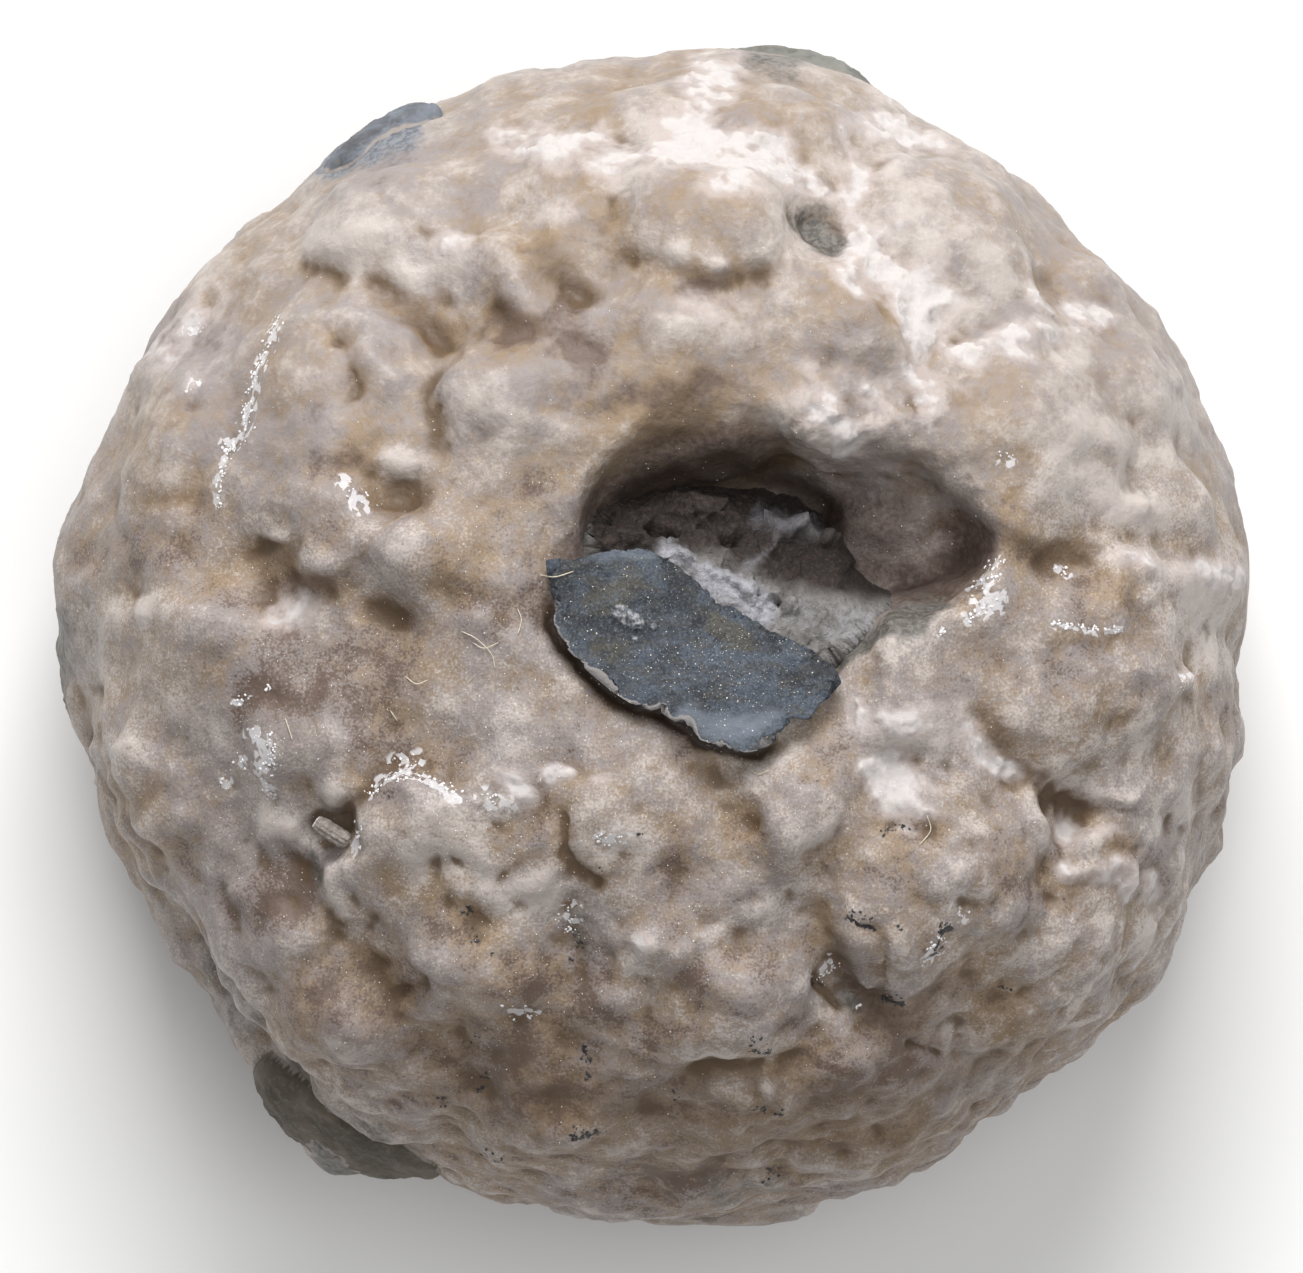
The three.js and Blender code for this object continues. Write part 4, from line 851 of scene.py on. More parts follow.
# The stem pit's back wall rolls over down to a line, and a bare floor fills its right part.
PIT_LINE = (
    -2.1, 2.2, -1.5, 2.9, -0.8, 3.6, 0.3, 4.1, 1.6, 4.2, 2.6, 4.3, 3.2, 4.8, 3.8, 4.9, 4.3, 4.3, 5.2, 4.4,
    6.2, 4.4, 7.2, 4.2, 8.0, 3.6, 8.6, 2.9)
LID_LEVEL = 17.95  # the ground behind the pit, which falls away to the right
LID_FALL = 0.17
ROLL_DEPTH = 2.2
ROLL_SOFTNESS = 0.12
ROLL_WIDTHS = (1.3, 0.55)  # at the left and the right end of the line
LOBE_MIDDLE = np.array([6.6, 2.5])
LOBE_SIZE = np.array([2.15, 1.8])
LOBE_LEVEL = 14.2
LOBE_SLOPES = np.array([0.1, 0.6])


def shaped_pit(points):
    """Points with the stem pit's wall and right lobe shaped, and how near each point is to them."""
    plan = points[:, :2] - PLAN_ORIGIN
    ground = Ground(plan, points[:, 2] > RIM)
    which, distance, left, share = ground.near(PIT_LINE, 3.5)
    behind = np.where(left > 0, distance, 0)
    before = np.where(left > 0, 0, distance)
    x = plan[which, 0]
    width = ROLL_WIDTHS[0] + (ROLL_WIDTHS[1] - ROLL_WIDTHS[0]) * smoothstep(x, 1.0, 3.2)
    level = LID_LEVEL - LID_FALL * np.maximum(x - 1, 0) - ROLL_DEPTH * np.exp(-behind / width)
    level -= 6 * before + 0.9 * np.maximum(behind - 1.8, 0)
    level -= 3 * (2 - smoothstep(share, 0, 0.12) - smoothstep(1 - share, 0, 0.1))
    below = (level - points[which, 2]) / ROLL_SOFTNESS
    lift = ROLL_SOFTNESS * np.log1p(np.exp(np.clip(below, -20, 20)))
    height = points[:, 2].copy()
    height[which] += lift
    shaped = np.zeros(len(points))
    shaped[which] = 1 - smoothstep(np.abs(behind - 0.9) + before, 1.2, 2.6)
    lobe = np.hypot(*((plan - LOBE_MIDDLE) / LOBE_SIZE).T)
    within = (1 - smoothstep(lobe, 0.6, 1.15)) * (points[:, 2] > 12.5)
    height += within * (LOBE_LEVEL + (plan - LOBE_MIDDLE) @ LOBE_SLOPES - height)
    shaped = np.maximum(shaped, (1 - smoothstep(lobe, 1.0, 1.4)) * ground.open)
    return np.c_[points[:, :2], height], shaped


def rounded_calyx():
    """The calyx with a finer mesh, rounded edges and a shaped stem pit."""
    made = new_object("calyx_stone", welded_copy("calyx"))
    made.data.shade_smooth()
    with_modifiers(made, ("SUBSURF", {"levels": 2, "render_levels": 2}))
    points, shaped = shaped_pit(positions_mm(made.data))
    rounded = blurred(made.data, points, PIT_ROUNDS)
    set_positions(made.data, points + shaped[:, None] * (rounded - points))
    # how hollow each place is, for painted shade in the hollows
    rounded = blurred(made.data, rounded, HOLLOW_ROUNDS)
    set_attribute(made.data, "hollow_shade", ((rounded - points) * normals_of(made.data)).sum(1) * 3.0)
    return with_modifiers(made, ("SUBSURF", {"levels": 1, "render_levels": 1}))


def cut_crevice(ground, points, plan, near_top):
    """A crevice runs under the flake's front left edge, darkened with painted shadow."""
    beside = np.full(len(points), 9.0)
    close = (np.abs(plan - FLAKE_MIDDLE) < 5).all(1) & near_top
    beside[close] = distance_to_outline(points[close, :2], flake_outline())
    crevice = at_flake_front(plan) * np.exp(-((beside / CREVICE_WIDTH) ** 2))
    ground.relief -= CREVICE_DEPTH * crevice
    # painted shadow in the crevice, where the flake's edge shades the calyx
    ground.paint["painted_shadow"] = np.maximum(ground.paint["painted_shadow"], 1.5 * crevice ** 2)


def with_natural_relief(relief, points, plan, flank, pebbly, chalk):
    """The strokes' relief with the small relief that no stroke places."""
    lumps = 0.24 * fractal(points, 2.4, 2, 3) + 0.1 * (cobbles(points, 2.3, 5) - 0.5)
    lumps += 0.03 * fractal(points, 0.7, 2, 9)
    lumps *= 1 + 0.5 * smoothstep(-plan[:, 1], 1, 6)  # the front is lumpier
    pebbles = 0.08 * cobbles(points, 1.1, 15) + 0.22 * fractal(points, 1.1, 4, 17)
    pebbles *= pebbly * (1 - 0.6 * flank)
    strata = 0.22 * flank * fractal(points * (0.8, 1.0, 1.5), 2.0, 3, 31)
    facets = 0.06 * np.abs(fractal(points, 0.9, 2, 27)) + 0.02 * np.abs(fractal(points, 0.4, 2, 21))
    crumbs = chalk * (0.03 + 0.12 * fractal(points, 0.6, 4, 66, 0.6))
    return relief + lumps + strata + pebbles + crumbs - facets


def calyx_piece():
    made = rounded_calyx()
    mesh = made.data
    points = positions_mm(mesh)
    plan = points[:, :2] - PLAN_ORIGIN
    level = points[:, 2].copy()
    above = smoothstep(level, RIM - 1.5, RIM + 1.0)
    warp = np.stack([fractal(points, 1.6, 3, seed) for seed in (40, 50)], 1)
    ground = Ground(plan + 0.2 * warp, level > RIM - 3.5)
    for mound in MOUNDS:
        ground.mound(*mound)
    for step in STEPS:
        ground.step(*step)
    for ridge in RIDGES:
        ground.ridge(*ridge)
    ground.paint_all(BRUSHES)
    # the shale stains the calyx only close around the back left skin
    away = np.linalg.norm(points - STAIN_MIDDLE, axis=1) + 1.2 * fractal(points, 1.4, 4, 37)
    ground.paint["slate"] *= 1 - smoothstep(away, 1.5, 2.6)
    cut_crevice(ground, points, plan, above > 0)
    # the front and right flanks are weathered
    flank = np.maximum(
        0.9 * smoothstep(-plan[:, 1], 6, 12), 0.7 * smoothstep(plan[:, 0] - plan[:, 1], 11, 16))
    vein = ground.paint["vein"]
    pebbly = np.maximum(ground.paint["pebbly"], 0.3 * vein)
    vein += 0.9 * fractal(points, 1.3, 4, 60, 0.6) * np.minimum(3 * vein, 1)
    chalk = smoothstep(vein, 0.6, 0.85)
    relief = with_natural_relief(ground.relief * above, points, plan, flank, pebbly, chalk)
    off_floor = smoothstep(level, 0.0, 1.2)  # 0 on the face that it rests on
    relief = relief * off_floor + bulge(points)
    painted = smoothstep(level + 1.5 * fractal(points, 1.0, 3, 33), RIM - 3.0, RIM - 1.0)
    points = settled(points + normals_of(mesh) * relief[:, None])
    points[:, 2] += 0.25 * (1 - off_floor) * np.maximum(fractal(points, 2.0, 4, 35), 0)
    set_positions(mesh, points)
    set_attribute(mesh, "weathered", flank)
    set_attribute(mesh, "granular", 1 - smoothstep(plan[:, 1], 2, 7))
    # painted shade: darker brown where the surface lies deep in hollows
    set_attribute(mesh, "deep_shade", hollowness(mesh, 30) * 12.0)
    # painted shade: darker and warmer colour in the valleys of the relief
    set_attribute(mesh, "valley_shade", (blurred(mesh, relief, 160) - relief) * 5.0)
    for name, layer in ground.paint.items():
        set_attribute(mesh, name, layer * painted)
    triangles = sum(len(face.vertices) - 2 for face in mesh.polygons)
    with_modifiers(made, ("DECIMATE", {"ratio": PIECE_TRIANGLES / triangles}))
    return finished(made, calcite_material(), "calyx")


def finished(made, material, node):
    """A piece with its material, which stands for a CAD node."""
    made.data.materials.clear()
    made.data.materials.append(material)
    made.data.shade_smooth()
    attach(made, "root")
    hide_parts(node)
    return made


def even_copy(node, spacing):
    """A CAD node's solid as a new object with an even fine mesh."""
    made = new_object(node + "_stone", welded_copy(node))
    return with_modifiers(made, ("REMESH", {"mode": "VOXEL", "voxel_size": spacing * MM}))


calyx = calyx_piece()

# ---- The shale flake -----------------------------------------------------------------------------

LAMINA = 0.11  # the thickness of one of the flake's layers
# Crumbs stuck to the flake: (x, y, half length, half width, height).
FLAKE_CRUMBS = [
    (-0.92, 0.58, 0.27, 0.2, 0.2), (-0.6, 0.4, 0.26, 0.2, 0.17), (-0.45, 0.28, 0.12, 0.1, 0.08),
    (-0.06, 0.24, 0.13, 0.1, 0.1), (-0.57, -0.1, 0.12, 0.08, 0.1), (0.15, 0.4, 0.14, 0.08, 0.05),
    (-0.1, 0.75, 0.12, 0.08, 0.04), (0.9, -0.9, 0.2, 0.1, 0.04), (2.9, -0.9, 0.2, 0.12, 0.05),
]
FLAKE_BRUSHES = {
    "haze": [
        (0.6, 0.3, -1.8, 2.1, -1.0, 2.3, -0.2, 2.2), (0.9, 0.5, 0.8, -2.2, 1.8, -2.5, 3.0, -2.3),
        (0.35, 0.3, -2.6, 0.3, -2.3, -0.4, -1.0, -1.2, 0.2, -1.9),
    ],
    "olive": [
        (1.0, 0.4, 1.6, 0.3, 2.3, -0.1), (0.7, 0.5, -1.6, 0.9, -0.6, 1.4),
        (0.6, 0.4, -1.6, -0.2, -0.8, -0.5),
    ],
}


def shale_material():
    s = Shader("shale")
    broad = s.noise(1.0, 5, 0.6)
    streaked = s.noise(0.5, 5, 0.7, 0.0, (1.0, 1.7, 1.0))
    fine = s.noise(0.07, 4, 0.75)
    colour = s.blend(broad, 0.4, 0.6, rgb(42, 45, 50), rgb(76, 84, 95))
    colour = s.coat(colour, streaked, 0.46, 0.62, 0.6, rgb(70, 67, 60))
    colour = s.coat(colour, s.layer("olive", streaked, 1.0), 0.2, 0.8, 0.8, rgb(80, 75, 62))
    colour = s.coat(colour, fine, 0.5, 0.68, 0.75, rgb(110, 116, 124))
    colour = s.coat(colour, fine, 0.5, 0.34, 0.8, rgb(36, 38, 42))
    colour = s.coat(colour, s.layer("haze", streaked, 0.8), 0.2, 1.0, 0.7, rgb(122, 130, 141))
    grit = s.blend(s.noise(0.13, 3, 0.6), 0.4, 0.6, rgb(92, 98, 106), rgb(166, 166, 168))
    colour = s.coat(colour, s.layer("crumb", fine, 0.9), 0.3, 0.9, 1.0, grit)
    colour = s.coat(colour, s.layer("rim", fine, 1.3), 0.4, 0.9, 0.9, rgb(150, 146, 144))
    normal = s.bump(streaked, 0.03, 1.0, s.bump(fine, 0.03))
    return s.finish(colour, s.ramp(fine, 0.3, 0.7, 0.55, 0.8), normal, Specular_IOR_Level=0.35)


def flake_piece():
    made = even_copy("shale_flake", 0.045)
    mesh = made.data
    points = positions_mm(mesh)
    outline = flake_outline()
    over = over_flake(points)
    edge = distance_to_outline(points[:, :2], outline)
    plan = points[:, :2] - PLAN_ORIGIN
    # its laminae break off at different places along the edge
    chipped = np.c_[points[:, :2], 3 * np.floor(over / LAMINA)]
    back_right = smoothstep((plan - FLAKE_MIDDLE) @ FLAKE_ACROSS, 0.3, 1.2)
    bite = 0.3 * smoothstep(fractal(chipped, 0.6, 4, 61), -0.5, 0.8) + 0.12 * back_right
    inward = outline.mean(0) - points[:, :2]
    inward /= np.linalg.norm(inward, axis=1)[:, None]
    points[:, :2] += inward * (bite * np.exp(-((edge / 0.3) ** 2)))[:, None]
    front_left = at_flake_front(plan)
    ground = Ground(plan, np.ones(len(plan), bool))
    for x, y, half_length, half_width, height in FLAKE_CRUMBS:
        ground.mound(x, y, half_length, half_width, 40 * x, height)
    crumb = ground.relief / 0.1
    rise = ground.relief * (1 + 1.2 * fractal(points, 0.2, 3, 63))
    rise += 0.07 * fractal(points, 1.3, 3, 70) + 0.03 * fractal(points, 0.4, 3, 75)
    rise += 0.04 * smoothstep(fractal(points, 1.5, 3, 77), -0.2, 0.2)
    rise += 0.05 * smoothstep(plan[:, 0], 3.0, 4.4) * fractal(points, 0.2, 3, 79)
    rise += (0.3 + 0.7 * front_left) * 0.05 * np.exp(-edge / 0.3)
    points[:, 2] += rise * (over > 0)
    set_positions(mesh, settled(points, 0.02))
    side = 1 - smoothstep(np.abs(normals_of(mesh)[:, 2]), 0.3, 0.75)
    upper_edge = front_left * (over > 0) * np.exp(-((edge / 0.06) ** 2))
    set_attribute(mesh, "rim", np.maximum((0.2 + 0.1 * front_left) * side, 1.1 * upper_edge))
    set_attribute(mesh, "crumb", crumb)
    ground.paint_all(FLAKE_BRUSHES)
    for name, layer in ground.paint.items():
        set_attribute(mesh, name, layer)
    return finished(made, shale_material(), "shale_flake")


flake = flake_piece()

# ---- The matrix in the pit -----------------------------------------------------------------------


def matrix_material():
    s = Shader("matrix")
    broad = s.noise(0.8, 5, 0.7, 0.4)
    fine = s.noise(0.12, 4, 0.7)
    colour = s.blend(broad, 0.35, 0.65, rgb(96, 92, 88), rgb(132, 129, 127))
    # dark brown that is partly painted shade, deepest at the back of the matrix under the pit's wall
    brown_and_shade = s.layer("brown_and_shade", broad, 0.9)
    brownish_shade = s.blend(fine, 0.4, 0.65, rgb(30, 24, 21), rgb(66, 54, 48))
    colour = s.coat(colour, brown_and_shade, 0.1, 0.8, 1.0, brownish_shade)
    whitish = s.blend(fine, 0.35, 0.65, rgb(152, 151, 157), rgb(176, 176, 183))
    colour = s.coat(colour, s.layer("pale", broad, 0.9), 0.1, 1.0, 1.0, whitish)
    # painted shade, darker in the matrix's pores and hollows
    colour = s.coat(colour, s.attribute("pore_shade"), 0.3, 1.0, 0.9, rgb(44, 38, 34))
    colour = s.coat(colour, fine, 0.56, 0.72, 0.5, rgb(70, 64, 58))
    glints = s.times(s.ramp(fine, 0.46, 0.3, 0, 0.5), s.ramp(brown_and_shade, 0.6, 0.0, 0.15, 1.0))
    colour = s.mix(glints, colour, rgb(164, 160, 156))
    normal = s.bump(broad, 0.15, 1.0, s.bump(fine, 0.07))
    return s.finish(colour, s.ramp(fine, 0.3, 0.7, 0.75, 0.95), normal)


# Crumbs and pores of the matrix: (x, y, half length, half width, turn, height).
MATRIX_CRUMBS = [
    (0.75, 2.2, 0.38, 0.32, 0, 0.3), (2.4, 1.15, 0.6, 0.42, -40, 0.22), (1.9, 1.6, 0.3, 0.22, 0, 0.2),
    (2.9, 3.1, 0.28, 0.3, 0, 0.6), (3.8, 2.9, 0.4, 0.28, -10, 0.75), (4.6, 2.6, 0.3, 0.2, -20, 0.6),
    (-0.8, 2.7, 0.42, 0.2, -20, 0.45), (1.3, 3.35, 1.1, 0.38, -20, 0.8), (3.6, 0.7, 0.4, 0.25, -30, 0.15),
    (2, 1.9, 0.25, 0.16, -30, -0.3), (3.2, 0.95, 0.16, 0.12, 0, -0.3), (3.8, 1.6, 0.3, 0.2, 0, -0.4),
    (5.5, 1.85, 0.3, 0.2, 0, -0.4), (3.7, 2.2, 0.7, 0.3, -20, -0.5), (0.2, 2.85, 0.6, 0.14, -15, -0.6),
    (2.1, 2.55, 0.5, 0.15, -10, -0.5), (5.2, 1, 0.4, 0.3, 0, 0.2),
]
MATRIX_BRUSHES = {
    "pale": [
        (0.9, 0.35, 0.3, 2.3, 0.8, 2.0), (1.0, 0.5, 1.4, 1.6, 2.0, 1.3, 2.8, 0.7),
        (0.4, 0.2, 1.2, 1.85, 2.2, 1.75, 2.9, 2.2, 3.2, 2.65), (0.4, 0.7, 4.0, 0.6, 5.2, 0.2, 6.6, 0.2),
        (0.5, 0.4, 2.8, 3.2, 4.2, 2.9),
    ],
    # dark brown, partly painted shade at the back of the matrix, under the pit's wall
    "brown_and_shade": [
        (2.4, 1.0, -1.4, 3.5, 0.6, 3.6, 2.2, 3.6), (1.1, 0.8, 2.6, 4.0, 3.8, 3.8, 4.8, 3.2),
        (1.3, 0.7, 2.6, 2.5, 3.4, 2.2, 4.6, 1.9, 5.6, 1.8, 6.2, 1.7),
    ],
}
# The matrix drops behind a line beside the flake, and behind a line across the pit.
MATRIX_EDGE = np.array([3.2, 1.6])
MATRIX_FALL = np.array([0.45, 0.89])
MATRIX_BACK = 2.5
FLAKE_ROOM = 0.21  # how far the matrix stays below the middle of the flake's thickness


def matrix_piece():
    made = even_copy("pit_matrix", 0.07)
    mesh = made.data
    points = positions_mm(mesh)
    normals = normals_of(mesh)
    plan = points[:, :2] - PLAN_ORIGIN
    up = smoothstep(normals[:, 2], 0.0, 0.5)
    warp = np.stack([fractal(points, 0.4, 2, seed) for seed in (96, 97)], 1)
    ground = Ground(plan + 0.08 * warp, up > 0)
    for crumb in MATRIX_CRUMBS:
        ground.mound(*crumb)
    ground.ridge(0.1, 0.2, 1.2, 1.85, 2.2, 1.75, 2.9, 2.2, 3.2, 2.65)
    layered = 0.06 * np.sin(2 * math.pi * (plan[:, 1] + 0.35 * plan[:, 0]) / 0.24) * np.exp(
        -((plan[:, 0] - 1.3) / 1.1) ** 4 - ((plan[:, 1] - 3.35) / 0.6) ** 4)
    crumbly = 0.2 * (cobbles(points, 0.6, 80) - 0.5) + 0.14 * (cobbles(points, 0.22, 84) - 0.5)
    crumbly += 0.18 * fractal(points, 1.0, 4, 95)
    crumbly *= 1 - 0.6 * np.maximum(smoothstep(plan[:, 1], 3.0, 3.8), smoothstep(plan[:, 0], 3.8, 4.6))
    points += normals * ((ground.relief + layered + crumbly - 0.1) * up + 0.4 * (1 - up))[:, None]
    points[:, 2] -= np.maximum(over_flake(points) + FLAKE_ROOM, 0)
    beside_flake = (plan - MATRIX_EDGE) @ MATRIX_FALL
    points[:, 2] -= np.maximum(np.maximum(beside_flake, 0.7 * (plan[:, 1] - MATRIX_BACK)), 0)
    points[:, 2] -= 1.5 * np.maximum(plan[:, 0] - 4.8, 0) * smoothstep(plan[:, 1], 0.8, 1.6)
    set_positions(mesh, points)
    ground.paint_all(MATRIX_BRUSHES)
    for name, layer in ground.paint.items():
        set_attribute(mesh, name, layer)
    # painted shade: darker in the matrix's pores and hollows
    set_attribute(mesh, "pore_shade", hollowness(mesh, 8) * 9)
    return finished(made, matrix_material(), "pit_matrix")


matrix_piece()

# ---- The spine fragment --------------------------------------------------------------------------


def spine_material():
    s = Shader("spine")
    grain = s.noise(0.1, 4, 0.7)
    colour = s.blend(grain, 0.35, 0.65, rgb(112, 102, 96), rgb(150, 142, 136))
    colour = s.coat(colour, s.layer("rim", grain, 0.8), 0.35, 0.75, 1.0, rgb(206, 204, 206))
    return s.finish(colour, s.ramp(grain, 0.3, 0.7, 0.6, 0.8), s.bump(grain, 0.03))


def spine_piece():
    made = even_copy("spine_fragment", 0.022)
    mesh = made.data
    points = positions_mm(mesh)
    middle = points.mean(0)
    axes = np.linalg.svd(points - middle, full_matrices=False)[2]
    axes[0] *= -np.sign(axes[0][0])  # to the left, where its blunt end is
    along, across, away = axes @ (points - middle).T
    around = np.arctan2(away, across)
    end = along.max() - along
    out = 0.012 * np.cos(11 * around) + 0.02 * fractal(points, 0.2, 3, 110)
    points += normals_of(mesh) * out[:, None]
    points -= np.outer(0.05 * np.exp(-((np.hypot(across, away) / 0.13) ** 2)) * (end < 0.05), axes[0])
    set_positions(mesh, points)
    set_attribute(mesh, "rim", np.exp(-((end / 0.09) ** 2)))
    return finished(made, spine_material(), "spine_fragment")


spine_piece()

# ---- The shale skins -----------------------------------------------------------------------------

# For each skin: the shale's darker and lighter colour, and how far it lies below its CAD model.
SKINS = {
    "shale_skin_back_left": (rgb(76, 78, 82), rgb(108, 114, 124), 0.34),
    "shale_skin_back": (rgb(96, 96, 90), rgb(126, 126, 120), 0.5),
    "shale_skin_left": (rgb(98, 96, 92), rgb(126, 124, 120), 0.4),
    "shale_skin_front_left": (rgb(72, 66, 56), rgb(102, 93, 81), 0.3),
}
SKIN_FADE = 0.14  # the skins thin out over this much height above the calyx


def skin_material(name, dark, light):
    """Shale that thins out to the calcite's colour at its edge."""
    s = Shader(name)
    broad = s.noise(1.1, 5, 0.6, 0.6)
    fine = s.noise(0.2, 4, 0.65)
    shale = s.blend(broad, 0.35, 0.65, dark, light)
    shale = s.mix(s.ramp(fine, 0.5, 0.72, 0, 0.3), shale, rgb(150, 144, 136))
    colour = s.blend(s.layer("cover", broad, 1.2), 0.25, 0.7, rgb(146, 138, 132), shale)
    return s.finish(colour, s.ramp(fine, 0.3, 0.7, 0.6, 0.85), s.bump(broad, 0.12, 1.0, s.bump(fine, 0.04)))


calyx_tree = surface_tree(calyx.data)
flake_tree = surface_tree(flake.data)


def skin_piece(node, dark, light, sink):
    made = even_copy(node, 0.09)
    mesh = made.data
    points = positions_mm(mesh)
    normals = normals_of(mesh)
    outward = points - (0, 0, RIM)
    outward /= np.linalg.norm(outward, axis=1)[:, None]
    facing = (normals * outward).sum(1)
    laminae = np.round(3 * fractal(points, 1.5, 4, 101)) / 3
    rough = 0.09 * laminae + 0.04 * fractal(points, 0.35, 3, 107) - sink
    inner = 1 - smoothstep(facing, -0.3, 0.3)
    points += outward * (rough * (1 - inner) - (0.4 + sink) * inner)[:, None]
    set_positions(mesh, points)
    height = np.array([surface_height(Vector(p)) for p in points])
    set_attribute(mesh, "cover", smoothstep(height, 0.0, SKIN_FADE))
    return finished(made, skin_material(node.replace("shale_", ""), dark, light), node)


def surface_height(point):
    """How far a point is above the calyx's surface, in millimetres."""
    place, normal, _, _ = calyx_tree.find_nearest(point)
    return (point - place).dot(normal)


for node, look in SKINS.items():
    skin_piece(node, *look)

# ---- Grains, dust and fibres ---------------------------------------------------------------------

# Clouds of dust: (how many grains, middle, spread, sizes).
DUST = [
    (1500, (-5.0, -4.5), (5.0, 4.5), (0.01, 0.022)), (900, (1.0, -2.0), (6.0, 6.0), (0.01, 0.022)),
    (450, (1.8, -0.9), (1.5, 0.9), (0.005, 0.016)),
]
GRAIN_RISE = 0.15  # how far a grain's middle lies above the ground, in grain sizes

random = np.random.default_rng(5)


def ground_at(x, y):
    """The place and normal of what lies on top at a place in the plan, or None."""
    start = Vector((x + PLAN_ORIGIN[0], y + PLAN_ORIGIN[1], 40))
    hits = [tree.ray_cast(start, Vector((0, 0, -1)))[:2] for tree in (calyx_tree, flake_tree)]
    return max(hits, key=lambda hit: hit[0].z if hit[0] else -1)


def grain_shape():
    """The corners and faces of a round grain of radius 1."""
    work = bmesh.new()
    bmesh.ops.create_icosphere(work, subdivisions=1, radius=1)
    corners = np.array([v.co for v in work.verts])
    faces = np.array([[v.index for v in face.verts] for face in work.faces])
    work.free()
    return corners, faces


def grains_piece(name, spots, material):
    """Many small broken grains, as one mesh. Each spot is (place, normal, size), in millimetres."""
    shape, faces = grain_shape()
    all_corners = []
    all_faces = []
    for place, normal, size in spots:
        turn = np.linalg.qr(random.normal(size=(3, 3)))[0]
        turn *= np.sign(np.linalg.det(turn))
        stretch = size * random.uniform(0.55, 1.25, 3)
        corners = shape * random.uniform(0.75, 1.2, (len(shape), 1)) * stretch @ turn
        corners -= 0.4 * np.outer(corners @ normal, normal)
        all_faces.append(faces + len(shape) * len(all_corners))
        all_corners.append(corners + np.array(place + normal * size * GRAIN_RISE))
    corners = np.vstack(all_corners) * MM
    mesh = bpy.data.meshes.new(name)
    mesh.from_pydata(corners.tolist(), [], np.vstack(all_faces).tolist())
    mesh.update()
    made = new_object(name, mesh)
    made.data.materials.append(material)
    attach(made, "root")
    return made


def near_strokes(strokes, density, spread, sizes):
    """Random places on the calyx near strokes of the brush, so many for each millimetre of a stroke."""
    spots = []
    for strength, half_width, *line in strokes:
        path = smooth_line(line, 0.05)
        for _ in range(round(density * strength * max(0.05 * len(path), 0.3))):
            x, y = path[random.integers(len(path))] + random.normal(0, half_width * spread, 2)
            place, normal = ground_at(x, y)
            if place:
                spots.append((place, normal, random.uniform(*sizes)))
    return spots


def scattered(count, centre, reach, sizes):
    """Random places on the fossil's upper side, thickest at a centre."""
    spots = []
    for _ in range(count):
        x, y = random.normal(centre, reach)
        place, normal = ground_at(x, y)
        if place and normal.z > 0.3:
            spots.append((place, normal, random.uniform(*sizes)))
    return spots


def grain_material(name, low, high, roughness):
    s = Shader(name)
    grain = s.noise(0.08, 3, 0.6)
    colour = s.blend(grain, 0.35, 0.65, low, high)
    return s.finish(colour, s.ramp(grain, 0.3, 0.7, roughness, roughness + 0.25), s.bump(grain, 0.01))


grains_piece(
    "crust_grains", near_strokes(BRUSHES["crust"], 35, 0.5, (0.015, 0.06)),
    grain_material("crust", rgb(214, 210, 208), rgb(246, 246, 250), 0.3))
grains_piece(
    "dark_grains", near_strokes(BRUSHES["soot"], 18, 0.5, (0.02, 0.06)),
    grain_material("soot", rgb(30, 30, 34), rgb(66, 64, 66), 0.4))
dust = [spot for cloud in DUST for spot in scattered(*cloud)]
grains_piece("dust", dust, grain_material("dust", rgb(206, 196, 180), rgb(240, 236, 228), 0.5))

# Loose fibres: the places x, y, x, y, ... that each passes over.
FIBRES = [
    (-5.2, 0.1, -4.8, -0.1, -4.4, -0.5, -4.3, -0.9), (-4.9, -0.2, -4.6, -0.35, -4.2, -0.2),
    (-3.7, 0.7, -3.6, 0.4, -3.7, 0), (-9.9, -2.2, -9.8, -2.5, -9.7, -2.8),
    (-6.7, -1.1, -6.4, -1.3, -6.1, -1.2), (-7.1, -2, -6.9, -2.3), (2.4, -3.5, 2.7, -3.7, 3, -3.6),
    (-3.1, 1.6, -2.7, 1.55, -2.2, 1.7), (7, -5.6, 7.3, -5.2, 7.2, -4.8),
]
FIBRE_RADIUS = 0.014
FIBRE_SIDES = 6


def fibres_piece():
    """The fibres, as one mesh of thin round tubes that lie on the calyx."""
    corners = []
    faces = []
    for line in FIBRES:
        path = smooth_line(line, 0.06)
        centres = [ground_at(x, y)[0] + Vector((0, 0, 0.03 + 0.05 * math.sin(math.pi * i / len(path))))
                   for i, (x, y) in enumerate(path)]
        start = len(corners)
        for i, centre in enumerate(centres):
            way = (centres[min(i + 1, len(centres) - 1)] - centres[max(i - 1, 0)]).normalized()
            side = way.cross(Vector((0, 0, 1))).normalized()
            rise = side.cross(way)
            taper = FIBRE_RADIUS * (0.4 if i in (0, len(centres) - 1) else 1.0)
            for k in range(FIBRE_SIDES):
                angle = 2 * math.pi * k / FIBRE_SIDES
                corners.append(centre + taper * (math.cos(angle) * side + math.sin(angle) * rise))
        for i in range(len(centres) - 1):
            for k in range(FIBRE_SIDES):
                a = start + i * FIBRE_SIDES + k
                b = start + i * FIBRE_SIDES + (k + 1) % FIBRE_SIDES
                faces.append((a, b, b + FIBRE_SIDES, a + FIBRE_SIDES))
        faces.append([start + k for k in reversed(range(FIBRE_SIDES))])
        faces.append([len(corners) - FIBRE_SIDES + k for k in range(FIBRE_SIDES)])
    mesh = bpy.data.meshes.new("fibres")
    mesh.from_pydata([c * MM for c in corners], [], faces)
    mesh.shade_smooth()
    made = new_object("fibres", mesh)
    made.data.materials.append(grain_material("fibre", rgb(196, 184, 160), rgb(226, 218, 200), 0.5))
    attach(made, "root")


fibres_piece()

# ---- Camera, light and floor ---------------------------------------------------------------------

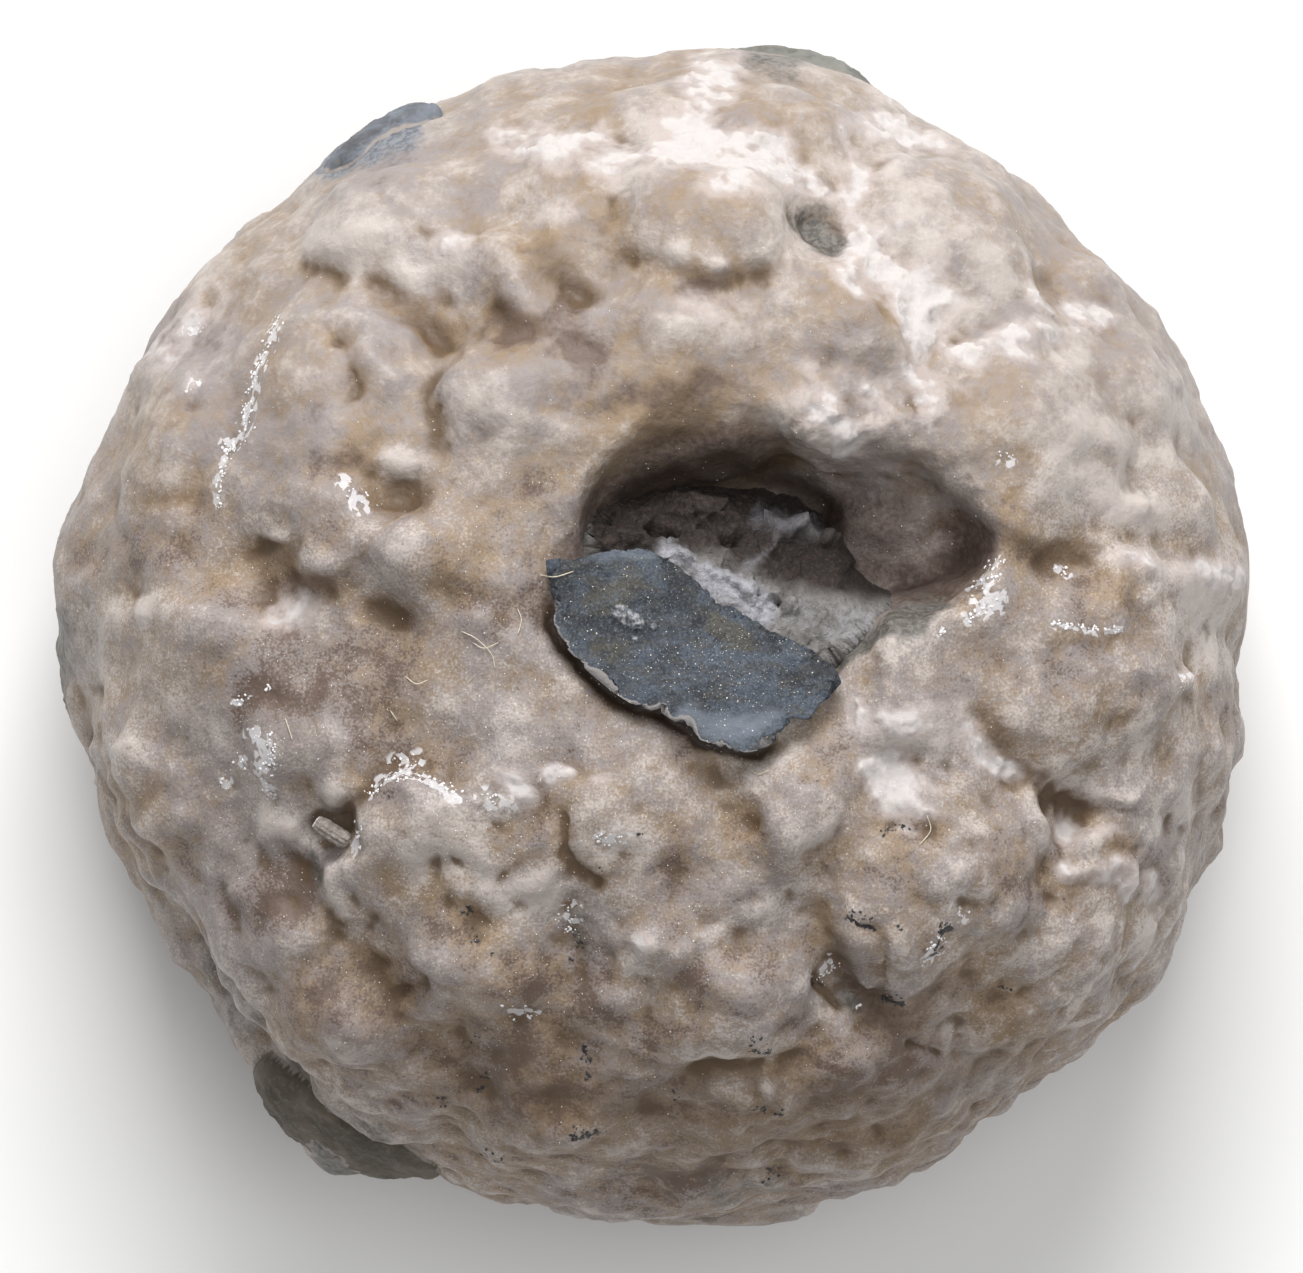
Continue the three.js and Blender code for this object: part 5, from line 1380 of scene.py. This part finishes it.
VIEW_WIDTH = 34.95  # millimetres across the picture, at the calyx's widest level
VIEW_SHIFT = (-0.134, -0.04)  # from the plan's origin to the middle of the picture
CAMERA_DISTANCE = 1.5  # metres above the rim
SENSOR = 36.0


def camera():
    data = bpy.data.cameras.new("camera")
    data.sensor_width = SENSOR
    data.lens = SENSOR * CAMERA_DISTANCE / (VIEW_WIDTH * MM)
    data.clip_end = 10
    made = new_object("camera", data)
    x, y = (PLAN_ORIGIN + VIEW_SHIFT) * MM
    made.location = (x, y, CAMERA_DISTANCE + RIM * MM)
    bpy.context.scene.camera = made


def area_light(name, azimuth, elevation, distance, size, energy, colour=(1, 1, 1)):
    """A soft square light that looks at the fossil, from degrees round it (90 is the back) and up."""
    data = bpy.data.lights.new(name, "AREA")
    data.size = size
    data.energy = energy
    data.color = colour
    made = new_object(name, data)
    a, e = math.radians(azimuth), math.radians(elevation)
    way = Vector((math.cos(a) * math.cos(e), math.sin(a) * math.cos(e), math.sin(e)))
    made.location = way * distance + Vector((0, 0, 0.01))
    made.rotation_euler = way.to_track_quat("Z", "Y").to_euler()
    made.visible_camera = False


def floor():
    bpy.ops.mesh.primitive_grid_add(x_subdivisions=8, y_subdivisions=8, size=3)
    made = bpy.context.object
    made.name = "floor"
    material = bpy.data.materials.new("floor")
    material.use_nodes = True
    surface = material.node_tree.nodes["Principled BSDF"]
    surface.inputs["Base Color"].default_value = (0.86, 0.86, 0.86, 1)
    surface.inputs["Roughness"].default_value = 0.9
    made.data.materials.append(material)


camera()
area_light("key", azimuth=90, elevation=41, distance=0.5, size=0.28, energy=3.1, colour=(1.0, 0.995, 0.99))
area_light("top", azimuth=-20, elevation=80, distance=0.6, size=0.4, energy=1.28)
world = bpy.data.worlds.new("world")
bpy.context.scene.world = world
world.use_nodes = True
world.node_tree.nodes["Background"].inputs["Color"].default_value = (1, 1, 1, 1)
world.node_tree.nodes["Background"].inputs["Strength"].default_value = 0.3
floor()
bpy.context.scene.view_settings.view_transform = "Standard"
